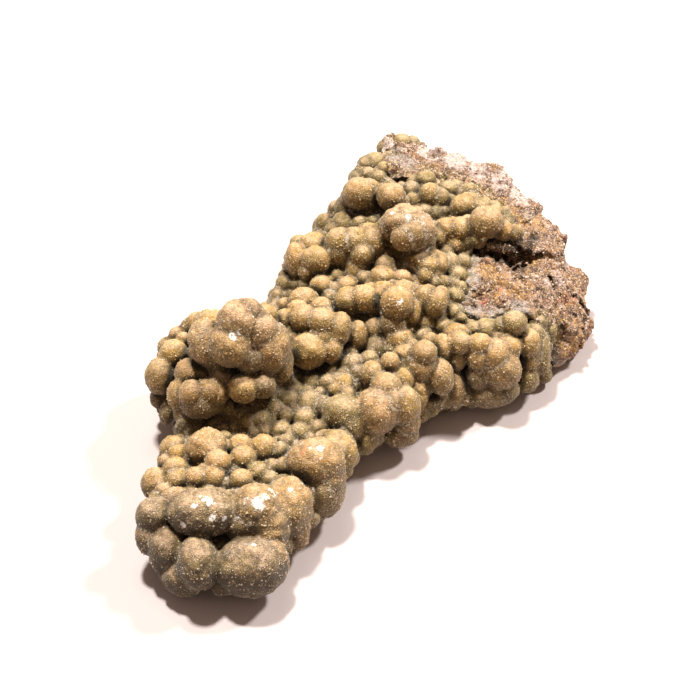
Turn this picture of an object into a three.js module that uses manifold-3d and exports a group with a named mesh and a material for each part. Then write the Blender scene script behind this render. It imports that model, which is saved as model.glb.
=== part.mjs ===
// Mottramite specimen: a thick botryoidal (grape-like) crust grown over a broken piece of matrix rock.
// Millimetres, +Z up. The origin is under the middle of the specimen, on the surface that it rests on,
// and its long axis lies along X: the big low lobes are at -X, the bare rock at +X.
import * as THREE from 'three';
import * as BufferGeometryUtils from 'three/addons/utils/BufferGeometryUtils.js';
import Module from 'manifold-3d';

// ---- driving dimensions (mm) ----
const SLAB_TOP = 5.4;            // rock under the crust
const SLAB_BEVEL = 1.6;          // broken edge, top and bottom
const BLOCK_TOP = 11.6;          // bare rock at the back
const BLOCK_BEVEL = 1.8;
const GAP = 0.32;                // the two solids are kept this far apart
const GROWTH_TILT = 44;          // degrees: the lobes lean out from the rock along this slope ...
const GROWTH_HEADING = -65;      // ... on this bearing about Z
const LOBE_DETAIL_RADIUS = 4.2;  // larger lobes get a finer ball

// Outline of the rock where it lies under the crust and at the bare end.
const SLAB_OUTLINE = [
  [-45.13, 6.67], [-42.24, -1.91], [-35.17, -5.23], [-25.81, -6.38], [-17.71, -4.82], [-8.83, -7.29], [0.83, -13.82],
  [6.93, -19.8], [16.63, -25.21], [21.67, -28.93], [26.38, -28.39], [31.4, -24.95], [35.78, -20.15], [39.26, -15.77],
  [42.94, -11.84], [46.42, -7.46], [48.56, -2.6], [49.17, 3.2], [49.77, 9], [50.83, 15.01], [48.66, 17.31],
  [42.41, 17.7], [35.01, 17.01], [27.61, 16.32], [20.48, 17.41], [13.08, 16.71], [5.25, 16.93], [-4.47, 21.22],
  [-11.06, 25.87], [-16.92, 24.24], [-20.24, 17.18], [-27.85, 16.94], [-37.76, 14.52], [-43.68, 10.66],
];
// Outline of the thicker bare block.
const BLOCK_OUTLINE = [
  [48.93, 17.43], [43.25, 15.89], [39.5, 9.73], [35.33, 4.47], [32.92, -2.17], [24.76, -5.98], [18.05, -5.79],
  [12.62, -8.33], [10.65, -14.76], [14.97, -20.47], [17.53, -24.79], [22.13, -28.72], [26.38, -28.39], [31.4, -24.95],
  [35.78, -20.15], [39.26, -15.77], [42.94, -11.84], [46.42, -7.46], [48.56, -2.6], [49.17, 3.2], [49.77, 9],
  [50.83, 15.01],
];
// Broken faces of the bare block: a point on the face, its outward direction.
const BROKEN_FACES = [
  { at: [27.80, -20.56, 11.2], n: [0.18, -0.63, 0.75] },   // slope down to the right edge
  { at: [47.80, 1.14, 11], n: [0.62, 0.05, 0.78] },          // slope of the back rim
  { at: [38.80, -17.36, 9.6], n: [0.55, -0.45, 0.7] },
  { at: [49.90, 9.14, 6], n: [0.96, 0.1, -0.25] },          // broken back end
  { at: [22.80, -29.06, 3.6], n: [-0.15, -0.97, -0.2] },   // broken right side
];

// Swells of the crust that carry the lobes: x, y, z of the middle, radius, half height.
const SWELLS = [
  [-43.32, 7.52, 4.54, 6.51, 4.14], [-40.85, -0.16, 4.54, 6.98, 4.14], [-35.16, 11.32, 4.55, 6.51, 4.05], [-30.88, 4.49, 5.02, 7.44, 4.32],
  [-27.91, 14.7, 4.1, 5.58, 3.6], [-28.89, -4.51, 4.07, 5.58, 3.87], [-22.12, -2.46, 4.07, 5.58, 3.87], [-19.09, 9.99, 3.82, 7.44, 3.42],
  [-14.81, 3.16, 4.1, 7.44, 3.6], [-14.08, -3.12, 4.1, 5.58, 3.6], [-14.74, 21.95, 5.9, 6.98, 5.4], [-9.97, 16.45, 7.24, 7.91, 6.84],
  [-11, 11.55, 11.94, 6.04, 5.94], [-9.58, 22.7, 6.44, 5.12, 5.04], [-6.28, 20.37, 8.4, 5.58, 5.4], [-3.87, 10.47, 5.44, 7.44, 5.04],
  [-0.01, 4.54, 6.37, 7.44, 5.67], [5.07, 10.22, 6.37, 7.44, 5.67], [-3.33, -2.52, 5, 7.44, 4.5], [12.8, 14.93, 6.4, 6.51, 5.4],
  [10.32, 6.05, 7.35, 8.37, 5.85], [17.58, 9.43, 8.35, 8.37, 5.85], [11.89, -2.04, 7.35, 7.44, 5.85], [19.14, 1.34, 7.38, 7.44, 5.58],
  [16.51, -4.86, 6.92, 5.58, 5.22], [-4.36, -7.42, 4.54, 6.51, 4.14], [2.71, -10.74, 5.45, 6.51, 4.95], [8.51, -11.35, 5.92, 6.51, 5.22],
  [7.9, -17.15, 5, 6.51, 4.5], [12.73, -20.41, 5, 6.04, 4.5], [17.57, -23.67, 4.55, 4.19, 4.05], [22.65, 15.11, 7.4, 6.51, 5.4],
  [29.3, 12.69, 7.85, 7.44, 5.85], [25.13, 7.44, 9.25, 7.44, 6.75], [28.08, 1.09, 8.35, 7.44, 5.85], [34.43, 4.05, 7.9, 6.51, 5.4],
  [32.22, -3.05, 7.95, 5.58, 4.95], [35.22, 16.56, 6.45, 5.58, 4.95], [42.83, 16.79, 6, 4.65, 4.5], [39.93, 8.82, 7.45, 5.58, 4.95],
];

// Lobes: x, y, z of the middle, three half axes in the growth frame, turn about its third axis (degrees).
const LOBES = [
  // big low lobes at the front end
  [-40.84, 5.66, 10.5, 4.92, 3.33, 3.88, 0], [-42.71, 12.63, 8.5, 2.76, 2.62, 2.67, 0], [-45.44, 9.02, 6, 2.9, 3.05, 2.97, 0],
  [-47.66, 5.54, 3.4, 3.04, 2.61, 2.76, -10], [-46.7, 3.61, 6.6, 3.02, 3.89, 3.46, 0], [-43.28, -3.01, 5.4, 4.91, 4.26, 4.49, 0],
  [-41.24, -5.55, 5.6, 2.46, 3.47, 2.96, 0], [-36.89, -0.77, 10.2, 3.48, 3.77, 3.62, 0], [-39.11, 0.1, 9, 2.61, 2.61, 2.61, 0],
  [-37.47, -3.11, 8, 3.05, 3.63, 3.34, 0], [-32.43, -3.71, 7.6, 3.66, 4.39, 4.03, -12],
  // double row behind the front end
  [-27.56, 11.9, 8.6, 3.13, 2.98, 3.03, 0],
  // large ball at the front right
  [-24.14, -4.48, 9.8, 4.14, 3.55, 3.75, 0], [-25.43, -5.72, 6, 3.71, 4.3, 4, 0], [-24.08, -6.4, 7.6, 2.52, 4.44, 3.48, 0],
  [-18.26, -4.96, 6.6, 3.15, 3.3, 3.22, 0],
  // tall knob on the left
  [-13.18, 13.72, 21.6, 2.99, 3.29, 3.14, 0], [-15.46, 17.74, 17.6, 2.71, 3.61, 3.16, 12], [-15.6, 13.58, 19, 3.29, 3.29, 3.29, 0],
  [-11.87, 8.97, 17.2, 3.01, 3.91, 3.46, 0], [-11.98, 10.52, 20, 2.69, 2.69, 2.69, -20], [-14.7, 10.92, 16.8, 2.4, 2.4, 2.4, 0],
  [-18.55, 24.47, 10.6, 2.28, 2.74, 2.51, 0],
  // low beads in the hollow
  [-12.18, -3.27, 8.4, 3.02, 2.87, 2.92, -12], [-12.94, -4.8, 7.6, 2.26, 2.42, 2.34, 0],
  // lobes along the right edge
  [-9.43, -7.67, 8.4, 3.18, 3.63, 3.4, 0], [-7.76, -9.06, 9.4, 2.27, 2.42, 2.34, 0], [-6.65, -11.06, 8.6, 2.27, 2.88, 2.58, 0],
  [7.72, -21.01, 7.6, 2.93, 3, 2.97, 0],
  // golden clusters across the middle
  [6.41, -3.74, 15.8, 2.46, 2.46, 2.46, 0], [15.52, 14.77, 12.95, 2.38, 2.3, 2.33, 0], [15.86, 10.37, 15.31, 2.36, 2.29, 2.32, 0],
  [16.83, 8.39, 15.35, 2.36, 2.29, 2.31, 0], [4.09, 11.03, 12.16, 2.33, 2.26, 2.29, 0], [-5.34, 5.66, 12, 2.83, 2.75, 2.78, 0],
  // clusters at the back
  [21.19, 1.59, 18.6, 3.61, 2.51, 2.9, 0], [19.83, -0.06, 18, 2.82, 2.51, 2.62, 0], [27.86, 12.63, 15.31, 2.57, 2.49, 2.52, 0],
  [28.91, -9.04, 16.4, 2.61, 2.53, 2.56, 0],
];

// Humps of the rock surface: x, y, z of the middle, three half sizes.
const ROCK_HUMPS = [
  [28.67, -13.85, 12.2, 3.4, 2.2, 1.9],   // ledge over the hollow
  [28.84, -11.37, 12.4, 3.2, 2.4, 1.9],
  [30.46, -16.04, 12, 2.6, 2.2, 1.8],
  [47.70, 12.32, 8.4, 3.2, 3.6, 3],        // back rim
  [46.70, 4.82, 8.6, 3.8, 4.2, 3],
  [45.30, -2.99, 8.8, 3.6, 4.4, 3.1],
  [42.20, -9.37, 9.0, 3.4, 3.8, 3],
  [37.30, -15.36, 8, 3.6, 3.8, 3],
  [42.00, 11.24, 9.6, 4, 3.2, 2.2],         // between the clusters at the back
  [30.61, -22.46, 6.2, 4, 3, 3],           // right edge
  [25.46, -25.46, 4.2, 3.4, 3, 3.2],
  [20.50, -25.06, 3.4, 3.2, 2.6, 2.8],
  [22.19, -17.97, 10.6, 6, 5.5, 2],       // bare top
  [21.22, -12.58, 10.8, 5, 4.5, 2],
  [27.60, -19.18, 10.2, 4, 3.4, 2],
];
// Hollows broken out of the rock: x, y, z of the middle, three half sizes.
const ROCK_HOLLOWS = [
  [27.20, -14.66, 10.3, 2.6, 3.4, 1.6],
];

const wasm = await Module();
wasm.setup();

// A closed three.js geometry as a solid.
function solid(geometry) {
  const g = geometry.clone();
  g.deleteAttribute('normal');
  g.deleteAttribute('uv');
  const merged = BufferGeometryUtils.mergeVertices(g, 1e-4);
  return new wasm.Manifold(new wasm.Mesh({
    numProp: 3,
    vertProperties: new Float32Array(merged.attributes.position.array),
    triVerts: new Uint32Array(merged.index.array),
  }));
}

// A solid back as a three.js geometry.
function geometryOf(made) {
  const mesh = made.getMesh();
  const g = new THREE.BufferGeometry();
  g.setAttribute('position', new THREE.BufferAttribute(new Float32Array(mesh.vertProperties), 3));
  g.setIndex(new THREE.BufferAttribute(new Uint32Array(mesh.triVerts), 1));
  const flat = g.toNonIndexed();
  flat.computeVertexNormals();
  return flat;
}

// The body of a cut that holds nearly all of it; crumbs that the cut leaves loose are dropped.
function mainBody(made) {
  return made.decompose().reduce((a, b) => (b.volume() > a.volume() ? b : a));
}

// A ball of half axes (a, b, c), turned by a quaternion and moved to its place.
function ball(x, y, z, a, b, c, detail, turn) {
  const g = new THREE.IcosahedronGeometry(1, detail);
  g.scale(a, b, c);
  if (turn) g.applyQuaternion(turn);
  g.translate(x, y, z);
  return g;
}

// The growth frame: first axis level, second axis up along the slope, third axis into the crust.
const heading = THREE.MathUtils.degToRad(GROWTH_HEADING);
const tilt = THREE.MathUtils.degToRad(GROWTH_TILT);
const growth = new THREE.Quaternion().setFromRotationMatrix(
  new THREE.Matrix4().makeRotationZ(heading).multiply(new THREE.Matrix4().makeRotationX(Math.PI / 2 - tilt)));

function lobeTurn(degrees) {
  return growth.clone().multiply(
    new THREE.Quaternion().setFromAxisAngle(new THREE.Vector3(0, 0, 1), THREE.MathUtils.degToRad(degrees)));
}

// A plate with broken (bevelled) edges, from the resting surface up to its top.
function plate(outline, top, bevel, grow) {
  const shape = new THREE.Shape(outline.map(([x, y]) => new THREE.Vector2(x, y)));
  const g = new THREE.ExtrudeGeometry(shape, {
    depth: top - 2 * bevel,
    bevelEnabled: true,
    bevelThickness: bevel + grow,
    bevelSize: bevel,
    bevelOffset: grow - bevel,
    bevelSegments: 1,
    curveSegments: 1,
  });
  g.translate(0, 0, bevel);
  return solid(g);
}

// The rock, or the rock grown all round by a clearance.
function rock(grow) {
  let made = plate(SLAB_OUTLINE, SLAB_TOP, SLAB_BEVEL, grow)
    .add(plate(BLOCK_OUTLINE, BLOCK_TOP, BLOCK_BEVEL, grow));
  for (const [x, y, z, a, b, c] of ROCK_HUMPS) {
    made = made.add(solid(ball(x, y, z, a + grow, b + grow, c + grow, 1)));
  }
  for (const { at, n } of BROKEN_FACES) {
    const normal = new THREE.Vector3(...n).normalize();
    const g = new THREE.BoxGeometry(80, 80, 20);
    g.translate(0, 0, 10 + grow);
    g.applyQuaternion(new THREE.Quaternion().setFromUnitVectors(new THREE.Vector3(0, 0, 1), normal));
    g.translate(...at);
    made = made.subtract(solid(g));
  }
  for (const [x, y, z, a, b, c] of ROCK_HOLLOWS) {
    made = made.subtract(solid(ball(x, y, z, a - grow, b - grow, c - grow, 1)));
  }
  return made;
}

// The crust: swells and lobes grown together into one body, seated on the rock.
function crust() {
  const balls = [
    ...SWELLS.map(([x, y, z, r, h]) => ball(x, y, z, r, r, h, 1)),
    ...LOBES.map(([x, y, z, a, b, c, turn]) =>
      ball(x, y, z, a, b, c, Math.max(a, b) > LOBE_DETAIL_RADIUS ? 2 : 1, lobeTurn(turn))),
  ];
  return balls.map(solid).reduce((all, one) => all.add(one));
}

function piece(name, made, colour, roughness, metalness) {
  const mesh = new THREE.Mesh(geometryOf(made),
    new THREE.MeshStandardMaterial({ color: colour, roughness, metalness, flatShading: true }));
  mesh.name = name;
  return mesh;
}

const group = new THREE.Group();
group.add(piece('matrix_rock', mainBody(rock(0)), 0x8f7f72, 0.9, 0));
group.add(piece('mottramite_crust', mainBody(crust().subtract(rock(GAP))), 0x9c8350, 0.75, 0));

export default group;
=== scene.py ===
"""Mottramite specimen: botryoidal crust on its matrix rock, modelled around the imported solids.

Lengths in the tables are millimetres in the part's own frame; meshes are written in metres.
"""
import math
import bpy
import numpy as np
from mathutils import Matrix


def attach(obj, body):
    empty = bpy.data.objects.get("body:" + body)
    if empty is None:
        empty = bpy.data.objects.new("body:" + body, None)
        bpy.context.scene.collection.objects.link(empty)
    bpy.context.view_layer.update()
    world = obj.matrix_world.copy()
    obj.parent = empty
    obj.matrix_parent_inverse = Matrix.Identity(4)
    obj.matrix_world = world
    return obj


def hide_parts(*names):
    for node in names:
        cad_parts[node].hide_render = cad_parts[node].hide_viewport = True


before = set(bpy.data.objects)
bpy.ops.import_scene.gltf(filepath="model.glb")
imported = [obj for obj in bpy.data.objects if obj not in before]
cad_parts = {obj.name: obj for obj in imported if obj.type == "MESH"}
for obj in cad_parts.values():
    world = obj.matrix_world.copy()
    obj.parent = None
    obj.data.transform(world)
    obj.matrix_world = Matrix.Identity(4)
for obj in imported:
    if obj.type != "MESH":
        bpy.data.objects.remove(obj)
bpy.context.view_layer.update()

# ---------------------------------------------------------------- tables
# Lobes: middle, three half axes in the growth frame, turn, tone
# (T tan, G golden, O olive, B brown-grey, P pale, D dark; D is partly painted shade, given to lobes that sit low among
# others).
LOBES = [
    (-40.84, 5.66, 10.5, 4.92, 3.33, 3.88, 0, 'B'), (-42.71, 12.63, 8.5, 2.76, 2.62, 2.67, 0, 'B'),
    (-45, 12.7, 6, 1.82, 2.48, 2.15, 10, 'B'), (-45.44, 9.02, 6, 2.9, 3.05, 2.97, 0, 'B'),
    (-47.66, 5.54, 3.4, 3.04, 2.61, 2.76, -10, 'B'), (-46.7, 3.61, 6.6, 3.02, 3.89, 3.46, 0, 'B'),
    (-43.28, -3.01, 5.4, 4.91, 4.26, 4.49, 0, 'B'), (-41.24, -5.55, 5.6, 2.46, 3.47, 2.96, 0, 'T'),
    (-36.89, -0.77, 10.2, 3.48, 3.77, 3.62, 0, 'T'), (-39.11, 0.1, 9, 2.61, 2.61, 2.61, 0, 'B'),
    (-37.47, -3.11, 8, 3.05, 3.63, 3.34, 0, 'T'), (-32.43, -3.71, 7.6, 3.66, 4.39, 4.03, -12, 'T'),
    (-33.47, -5.79, 4.6, 1.91, 2.79, 2.35, 0, 'T'), (-39.49, 10.81, 9.6, 2.19, 1.9, 2, 0, 'T'),
    (-30.03, -2.07, 8.6, 2.06, 2.06, 2.06, 0, 'O'), (-38.16, 4.89, 11, 2.61, 1.74, 2.05, 0, 'T'),
    (-40.37, 8.66, 10.8, 2.61, 1.89, 2.14, 0, 'T'), (-35.39, 3.77, 8.8, 1.75, 1.46, 1.56, 0, 'B'),
    (-46.15, 0.15, 2.9, 1.74, 1.59, 1.64, 0, 'B'), (-46.97, 9.76, 4.6, 1.45, 1.89, 1.67, 20, 'B'),
    (-35.15, 16.6, 6.2, 2.23, 2.37, 2.3, 0, 'T'), (-32.72, 14.42, 7.84, 1.93, 1.87, 1.89, 0, 'G'),
    (-34.4, 13.21, 7.67, 1.92, 1.86, 1.88, 0, 'G'), (-28.47, 17.04, 7.1, 2.1, 2.03, 2.06, 0, 'G'),
    (-29.95, 15.53, 8.1, 1.49, 1.44, 1.46, 0, 'G'), (-27.56, 11.9, 8.6, 3.13, 2.98, 3.03, 0, 'T'),
    (-30.27, 8.64, 9.6, 1.92, 1.92, 1.92, 0, 'T'), (-34.02, 10.38, 9.2, 1.62, 1.62, 1.62, 0, 'G'),
    (-32.86, 8.34, 8.89, 1.91, 1.86, 1.88, 0, 'G'), (-25.11, 7.63, 8.49, 1.94, 1.88, 1.9, 0, 'G'),
    (-27.46, 5.93, 9.09, 1.93, 1.87, 1.89, 0, 'G'), (-24.03, 4.34, 8.6, 2.09, 2.09, 2.09, 0, 'G'),
    (-31.6, 4.2, 9, 1.69, 1.77, 1.73, 0, 'G'), (-28.74, 2.83, 8.68, 1.62, 1.58, 1.59, 0, 'O'),
    (-23.4, 1.99, 8.6, 1.27, 1.34, 1.3, 0, 'O'), (-25.79, -0.17, 8.48, 1.48, 1.44, 1.45, 0, 'O'),
    (-20.64, 2.36, 7.78, 1.2, 1.16, 1.17, 0, 'O'), (-23.6, 11.11, 7.47, 1.2, 1.17, 1.18, 0, 'O'),
    (-32.53, 6.06, 8.2, 1.03, 1.03, 1.03, 0, 'O'), (-31.46, 16.64, 7.27, 1.34, 1.3, 1.31, 0, 'T'),
    (-26.6, 1.58, 8.47, 1.18, 1.15, 1.16, 0, 'O'), (-30.4, 7.29, 8.4, 1.18, 1.18, 1.18, 0, 'O'),
    (-30.23, 14.07, 7.8, 1.04, 1.04, 1.04, 0, 'O'), (-37.05, 14.19, 7.4, 1.33, 1.33, 1.33, 0, 'T'),
    (-29.11, 0.68, 8.28, 1.47, 1.43, 1.45, 0, 'O'), (-24.14, -4.48, 9.8, 4.14, 3.55, 3.75, 0, 'T'),
    (-25.43, -5.72, 6, 3.71, 4.3, 4, 0, 'B'), (-24.08, -6.4, 7.6, 2.52, 4.44, 3.48, 0, 'T'),
    (-18.26, -4.96, 6.6, 3.15, 3.3, 3.22, 0, 'G'), (-26.04, -3.23, 7.2, 2.07, 2.67, 2.37, 0, 'B'),
    (-17.92, -2.98, 7.71, 1.8, 1.74, 1.76, 0, 'G'), (-11.34, 12.93, 22.5, 2.09, 2.03, 2.05, 0, 'P'),
    (-13.18, 13.72, 21.6, 2.99, 3.29, 3.14, 0, 'P'), (-15.46, 17.74, 17.6, 2.71, 3.61, 3.16, 12, 'T'),
    (-15.6, 13.58, 19, 3.29, 3.29, 3.29, 0, 'T'), (-11.87, 8.97, 17.2, 3.01, 3.91, 3.46, 0, 'T'),
    (-11.98, 10.52, 20, 2.69, 2.69, 2.69, -20, 'P'), (-14.7, 10.92, 16.8, 2.4, 2.4, 2.4, 0, 'B'),
    (-11.14, 11.9, 21.4, 1.95, 2.1, 2.02, 0, 'P'), (-15.95, 15.54, 15.16, 2.11, 2.04, 2.06, 0, 'B'),
    (-9.86, 8.28, 17.2, 1.66, 2.41, 2.03, 15, 'P'), (-18.2, 10.44, 13.5, 2.25, 2.18, 2.2, 0, 'G'),
    (-17.52, 14.12, 13.39, 2.1, 2.04, 2.06, -10, 'B'), (-16.24, 8.24, 13.4, 1.95, 1.95, 1.95, 0, 'B'),
    (-11.09, 7.41, 13.8, 1.66, 2.87, 2.27, 0, 'G'), (-20.1, 14.89, 12.6, 2.7, 2.1, 2.31, 0, 'T'),
    (-21.86, 17.18, 12.8, 1.95, 2.1, 2.02, 0, 'T'), (-21.37, 19.89, 11, 1.66, 2.26, 1.96, 0, 'T'),
    (-21.86, 15.91, 11, 2.7, 2.1, 2.31, 0, 'B'), (-18.06, 19.66, 12.8, 2.12, 2.12, 2.12, 0, 'T'),
    (-17.55, 17.55, 12.8, 1.28, 1.36, 1.32, 0, 'T'), (-18.55, 24.47, 10.6, 2.28, 2.74, 2.51, 0, 'T'),
    (-15.18, 23.74, 12.6, 2.06, 2.13, 2.09, 0, 'G'), (-12.03, 23.82, 13, 1.07, 1.07, 1.07, 0, 'G'),
    (-10.3, 25.66, 11.56, 1.39, 1.34, 1.36, 0, 'T'), (-9.24, 24.08, 12.6, 1.23, 1.23, 1.23, 0, 'G'),
    (-8.52, 23.2, 13.6, 1.54, 1.69, 1.61, 0, 'G'), (-8.49, 20.73, 14.37, 2.14, 2.08, 2.1, 0, 'G'),
    (-4.32, 13.41, 15.48, 1.68, 1.63, 1.65, 0, 'G'), (-19.79, 24.38, 6.6, 1.15, 1.22, 1.18, 0, 'D'),
    (-20.73, 22.2, 6, 1.22, 1.98, 1.6, -15, 'D'), (-22.31, 18.5, 8.6, 1.59, 1.66, 1.62, 0, 'B'),
    (-21, 19.76, 3.6, 1.38, 1.45, 1.41, 0, 'D'), (-18.91, 13.27, 9, 1.21, 1.28, 1.25, 0, 'B'),
    (-14.02, 19.84, 13.31, 1.82, 1.77, 1.79, 0, 'D'), (-15.22, 13.77, 13.56, 1.96, 1.9, 1.92, 0, 'D'),
    (-20.14, 17.73, 4.72, 1.83, 1.77, 1.79, 0, 'D'), (-14.06, 21.64, 11.08, 1.83, 1.78, 1.8, 0, 'D'),
    (-14.28, 18.07, 11.8, 1.83, 1.83, 1.83, 0, 'D'), (-14.86, 10.42, 13.54, 1.96, 1.9, 1.92, 0, 'D'),
    (-13.07, 7.97, 13, 1.21, 1.21, 1.21, 0, 'D'), (-19.72, 14.68, 10, 1.66, 1.66, 1.66, 0, 'D'),
    (-10.91, 8.66, 14.6, 1.81, 2.12, 1.96, 0, 'T'), (-20.46, 14.62, 6.11, 1.82, 1.76, 1.78, 0, 'O'),
    (-21.5, 12.38, 6.47, 1.36, 1.32, 1.33, 0, 'O'), (-20.73, 11.24, 6.6, 1.06, 1.13, 1.1, 0, 'O'),
    (-22.68, 14.84, 5.9, 1.51, 1.47, 1.48, 0, 'O'), (-18.58, 9.62, 6.6, 1.36, 1.67, 1.51, 0, 'O'),
    (-17.44, 7.8, 6.55, 1.97, 1.91, 1.93, 0, 'O'), (-14.86, 6.87, 6.95, 1.82, 1.77, 1.79, 0, 'O'),
    (-15.57, 4.84, 7.36, 1.29, 1.25, 1.26, 0, 'O'), (-14.66, 1.91, 7.13, 1.82, 1.76, 1.78, 0, 'O'),
    (-14.46, 9.45, 6.69, 1.52, 1.48, 1.49, 0, 'O'), (-16.03, 10.72, 6.46, 1.22, 1.18, 1.19, 0, 'O'),
    (-12.6, 5.6, 7.33, 1.83, 1.77, 1.79, 0, 'O'), (-11.73, 2.3, 7.38, 2.28, 2.21, 2.23, 0, 'O'),
    (-11.87, 0.05, 8.2, 1.36, 1.67, 1.52, 0, 'D'), (-12.18, -3.27, 8.4, 3.02, 2.87, 2.92, -12, 'O'),
    (-12.94, -4.8, 7.6, 2.26, 2.42, 2.34, 0, 'O'), (-13.35, -1.98, 6.72, 1.66, 1.61, 1.63, 0, 'O'),
    (-12.46, -7.08, 4.9, 1.89, 2.27, 2.08, 0, 'O'), (-7.19, -1.11, 8.75, 1.83, 1.77, 1.79, 0, 'G'),
    (-8.8, -2.36, 8.76, 1.44, 1.4, 1.41, 0, 'G'), (-8.63, -0.61, 9.07, 1.37, 1.33, 1.34, 0, 'G'),
    (-7.28, 1.55, 8.49, 1.53, 1.48, 1.5, 0, 'O'), (-7.69, 3.89, 7.92, 1.68, 1.63, 1.65, 0, 'O'),
    (-4.79, 1.88, 7.61, 2.3, 2.23, 2.26, 0, 'O'), (-3.1, -0.55, 9.51, 1.99, 1.93, 1.95, 0, 'D'),
    (-10.07, 6.32, 7.23, 1.83, 1.78, 1.8, 0, 'D'), (-11.2, 8.16, 7.26, 1.22, 1.19, 1.2, 0, 'D'),
    (-7.51, 6.53, 7.86, 1.07, 1.04, 1.05, 0, 'D'), (-15.32, -0.75, 6.9, 1.51, 1.46, 1.48, 0, 'O'),
    (-17.11, 1.58, 6.72, 1.66, 1.61, 1.63, 0, 'O'), (-17.94, 4.36, 6.72, 1.66, 1.61, 1.63, 0, 'O'),
    (-18.99, 6.54, 6.49, 1.36, 1.32, 1.33, 0, 'O'), (-18.65, 2.34, 6.49, 1.2, 1.17, 1.18, 0, 'O'),
    (-6.26, -2.69, 8.8, 1.07, 1.07, 1.07, 0, 'O'), (-9.81, 3.73, 7.68, 1.22, 1.18, 1.2, 0, 'O'),
    (-21.93, 9.3, 6.26, 1.21, 1.17, 1.18, 0, 'O'), (-16.61, 6.52, 7.06, 1.06, 1.03, 1.04, 0, 'O'),
    (-13.77, 4.02, 7.28, 1.21, 1.18, 1.19, 0, 'O'), (-9.85, 1.85, 8.26, 1.07, 1.03, 1.04, 0, 'O'),
    (-20.02, 7.72, 6.29, 1.21, 1.17, 1.18, 0, 'O'), (-17.63, -0.34, 6.31, 1.35, 1.31, 1.33, 0, 'O'),
    (-16.92, 13.02, 5.86, 1.22, 1.18, 1.2, 0, 'D'), (-14.85, 12.69, 6.06, 1.22, 1.19, 1.2, 0, 'D'),
    (-6.16, 0.72, 8.68, 1.22, 1.19, 1.2, 0, 'O'), (-6.26, 5.43, 7.88, 1.23, 1.19, 1.2, 0, 'D'),
    (-4.33, 3.97, 8.28, 1.23, 1.19, 1.21, 0, 'D'), (-4.51, -2.21, 9.6, 1.22, 1.22, 1.22, 0, 'D'),
    (-4.96, -0.23, 9.09, 1.38, 1.33, 1.35, 0, 'O'), (-13.01, 7.44, 7.26, 1.07, 1.03, 1.05, 0, 'O'),
    (-10.24, -3.87, 8.6, 1.36, 1.36, 1.36, 0, 'O'), (-9.43, -7.67, 8.4, 3.18, 3.63, 3.4, 0, 'T'),
    (-7.76, -9.06, 9.4, 2.27, 2.42, 2.34, 0, 'T'), (-6.65, -11.06, 8.6, 2.27, 2.88, 2.58, 0, 'G'),
    (-7.1, -11.63, 5.8, 1.98, 2.28, 2.13, 0, 'T'), (-8.09, -10.95, 3.6, 2.74, 1.98, 2.25, 0, 'B'),
    (-6.37, -7.75, 10.7, 2.27, 2.2, 2.23, 0, 'T'), (-4.9, -4.74, 11, 1.9, 1.98, 1.94, 0, 'T'),
    (-2.68, -6.72, 12.4, 1.44, 1.44, 1.44, 0, 'T'), (-3.09, -8.77, 9.89, 1.98, 1.92, 1.94, 0, 'G'),
    (-1.92, -10.81, 7, 2.07, 3.06, 2.56, 0, 'G'), (0.83, -7.66, 10.92, 1.84, 1.78, 1.8, 0, 'G'),
    (0.92, -10.77, 12.8, 1.9, 1.9, 1.9, 0, 'T'), (-0.05, -10.57, 10.6, 2.14, 2.14, 2.14, 0, 'T'),
    (0.94, -13.52, 8.8, 2.14, 2.75, 2.45, 10, 'T'), (1.09, -13.55, 5, 1.69, 2, 1.85, 0, 'B'),
    (3.09, -15.19, 5.2, 1.62, 2.78, 2.2, 8, 'T'), (4.63, -12.17, 11.4, 1.38, 1.99, 1.69, 0, 'G'),
    (6.23, -14.48, 11.8, 1.69, 1.69, 1.69, 0, 'T'), (5.61, -14.16, 9, 1.62, 2, 1.81, 0, 'T'),
    (8.21, -12.95, 10.78, 2.16, 2.09, 2.11, 0, 'G'), (4.9, -10.03, 11.5, 1.38, 1.34, 1.35, 0, 'G'),
    (7.5, -17.28, 11.4, 1.84, 1.84, 1.84, 0, 'G'), (6.74, -17.5, 9.6, 2, 2.15, 2.08, 0, 'T'),
    (5.7, -17.88, 6.8, 1.77, 2.08, 1.93, 0, 'B'), (7.85, -19.86, 9.8, 2.15, 2.61, 2.38, 0, 'T'),
    (7.72, -21.01, 7.6, 2.93, 3, 2.97, 0, 'T'), (10.2, -20.71, 9.8, 2.16, 2.16, 2.16, 0, 'G'),
    (5.65, -20.04, 3.4, 3.25, 2.01, 2.45, 0, 'B'), (13.06, -23.22, 9.4, 1.7, 2.17, 1.93, 0, 'G'),
    (12.56, -23.73, 6.6, 1.47, 2.17, 1.82, 0, 'G'), (15.06, -24.9, 6.4, 1.17, 3.43, 2.3, 0, 'O'),
    (14.23, -24.03, 7.2, 1.09, 3.11, 2.1, 0, 'O'), (11.27, -23.89, 3.9, 1.87, 2.41, 2.14, 0, 'O'),
    (14.78, -25.24, 1.79, 1.41, 1.37, 1.38, 0, 'D'), (13.06, -20.57, 12.6, 1.93, 1.85, 1.88, 0, 'O'),
    (12.45, -18.85, 11.8, 1.39, 1.39, 1.39, 0, 'O'), (11.59, -16.55, 10.47, 2.01, 1.95, 1.97, 0, 'O'),
    (10.33, -14.91, 11.26, 1.24, 1.2, 1.21, 0, 'O'), (15.48, -23.06, 9.29, 1.55, 1.51, 1.52, 0, 'O'),
    (17.63, -22.84, 9.67, 1.56, 1.51, 1.53, 0, 'D'), (6.26, -15.36, 4.6, 1.55, 2.33, 1.94, 0, 'D'),
    (5.41, -12.75, 8.6, 0.93, 1.23, 1.08, 0, 'D'), (-4.35, -6.5, 10.47, 1.37, 1.33, 1.34, 0, 'T'),
    (-0.82, -7.91, 10.4, 1.22, 1.22, 1.22, 0, 'O'), (-0.88, -8.96, 9.6, 0.92, 1.22, 1.07, 0, 'O'),
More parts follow.
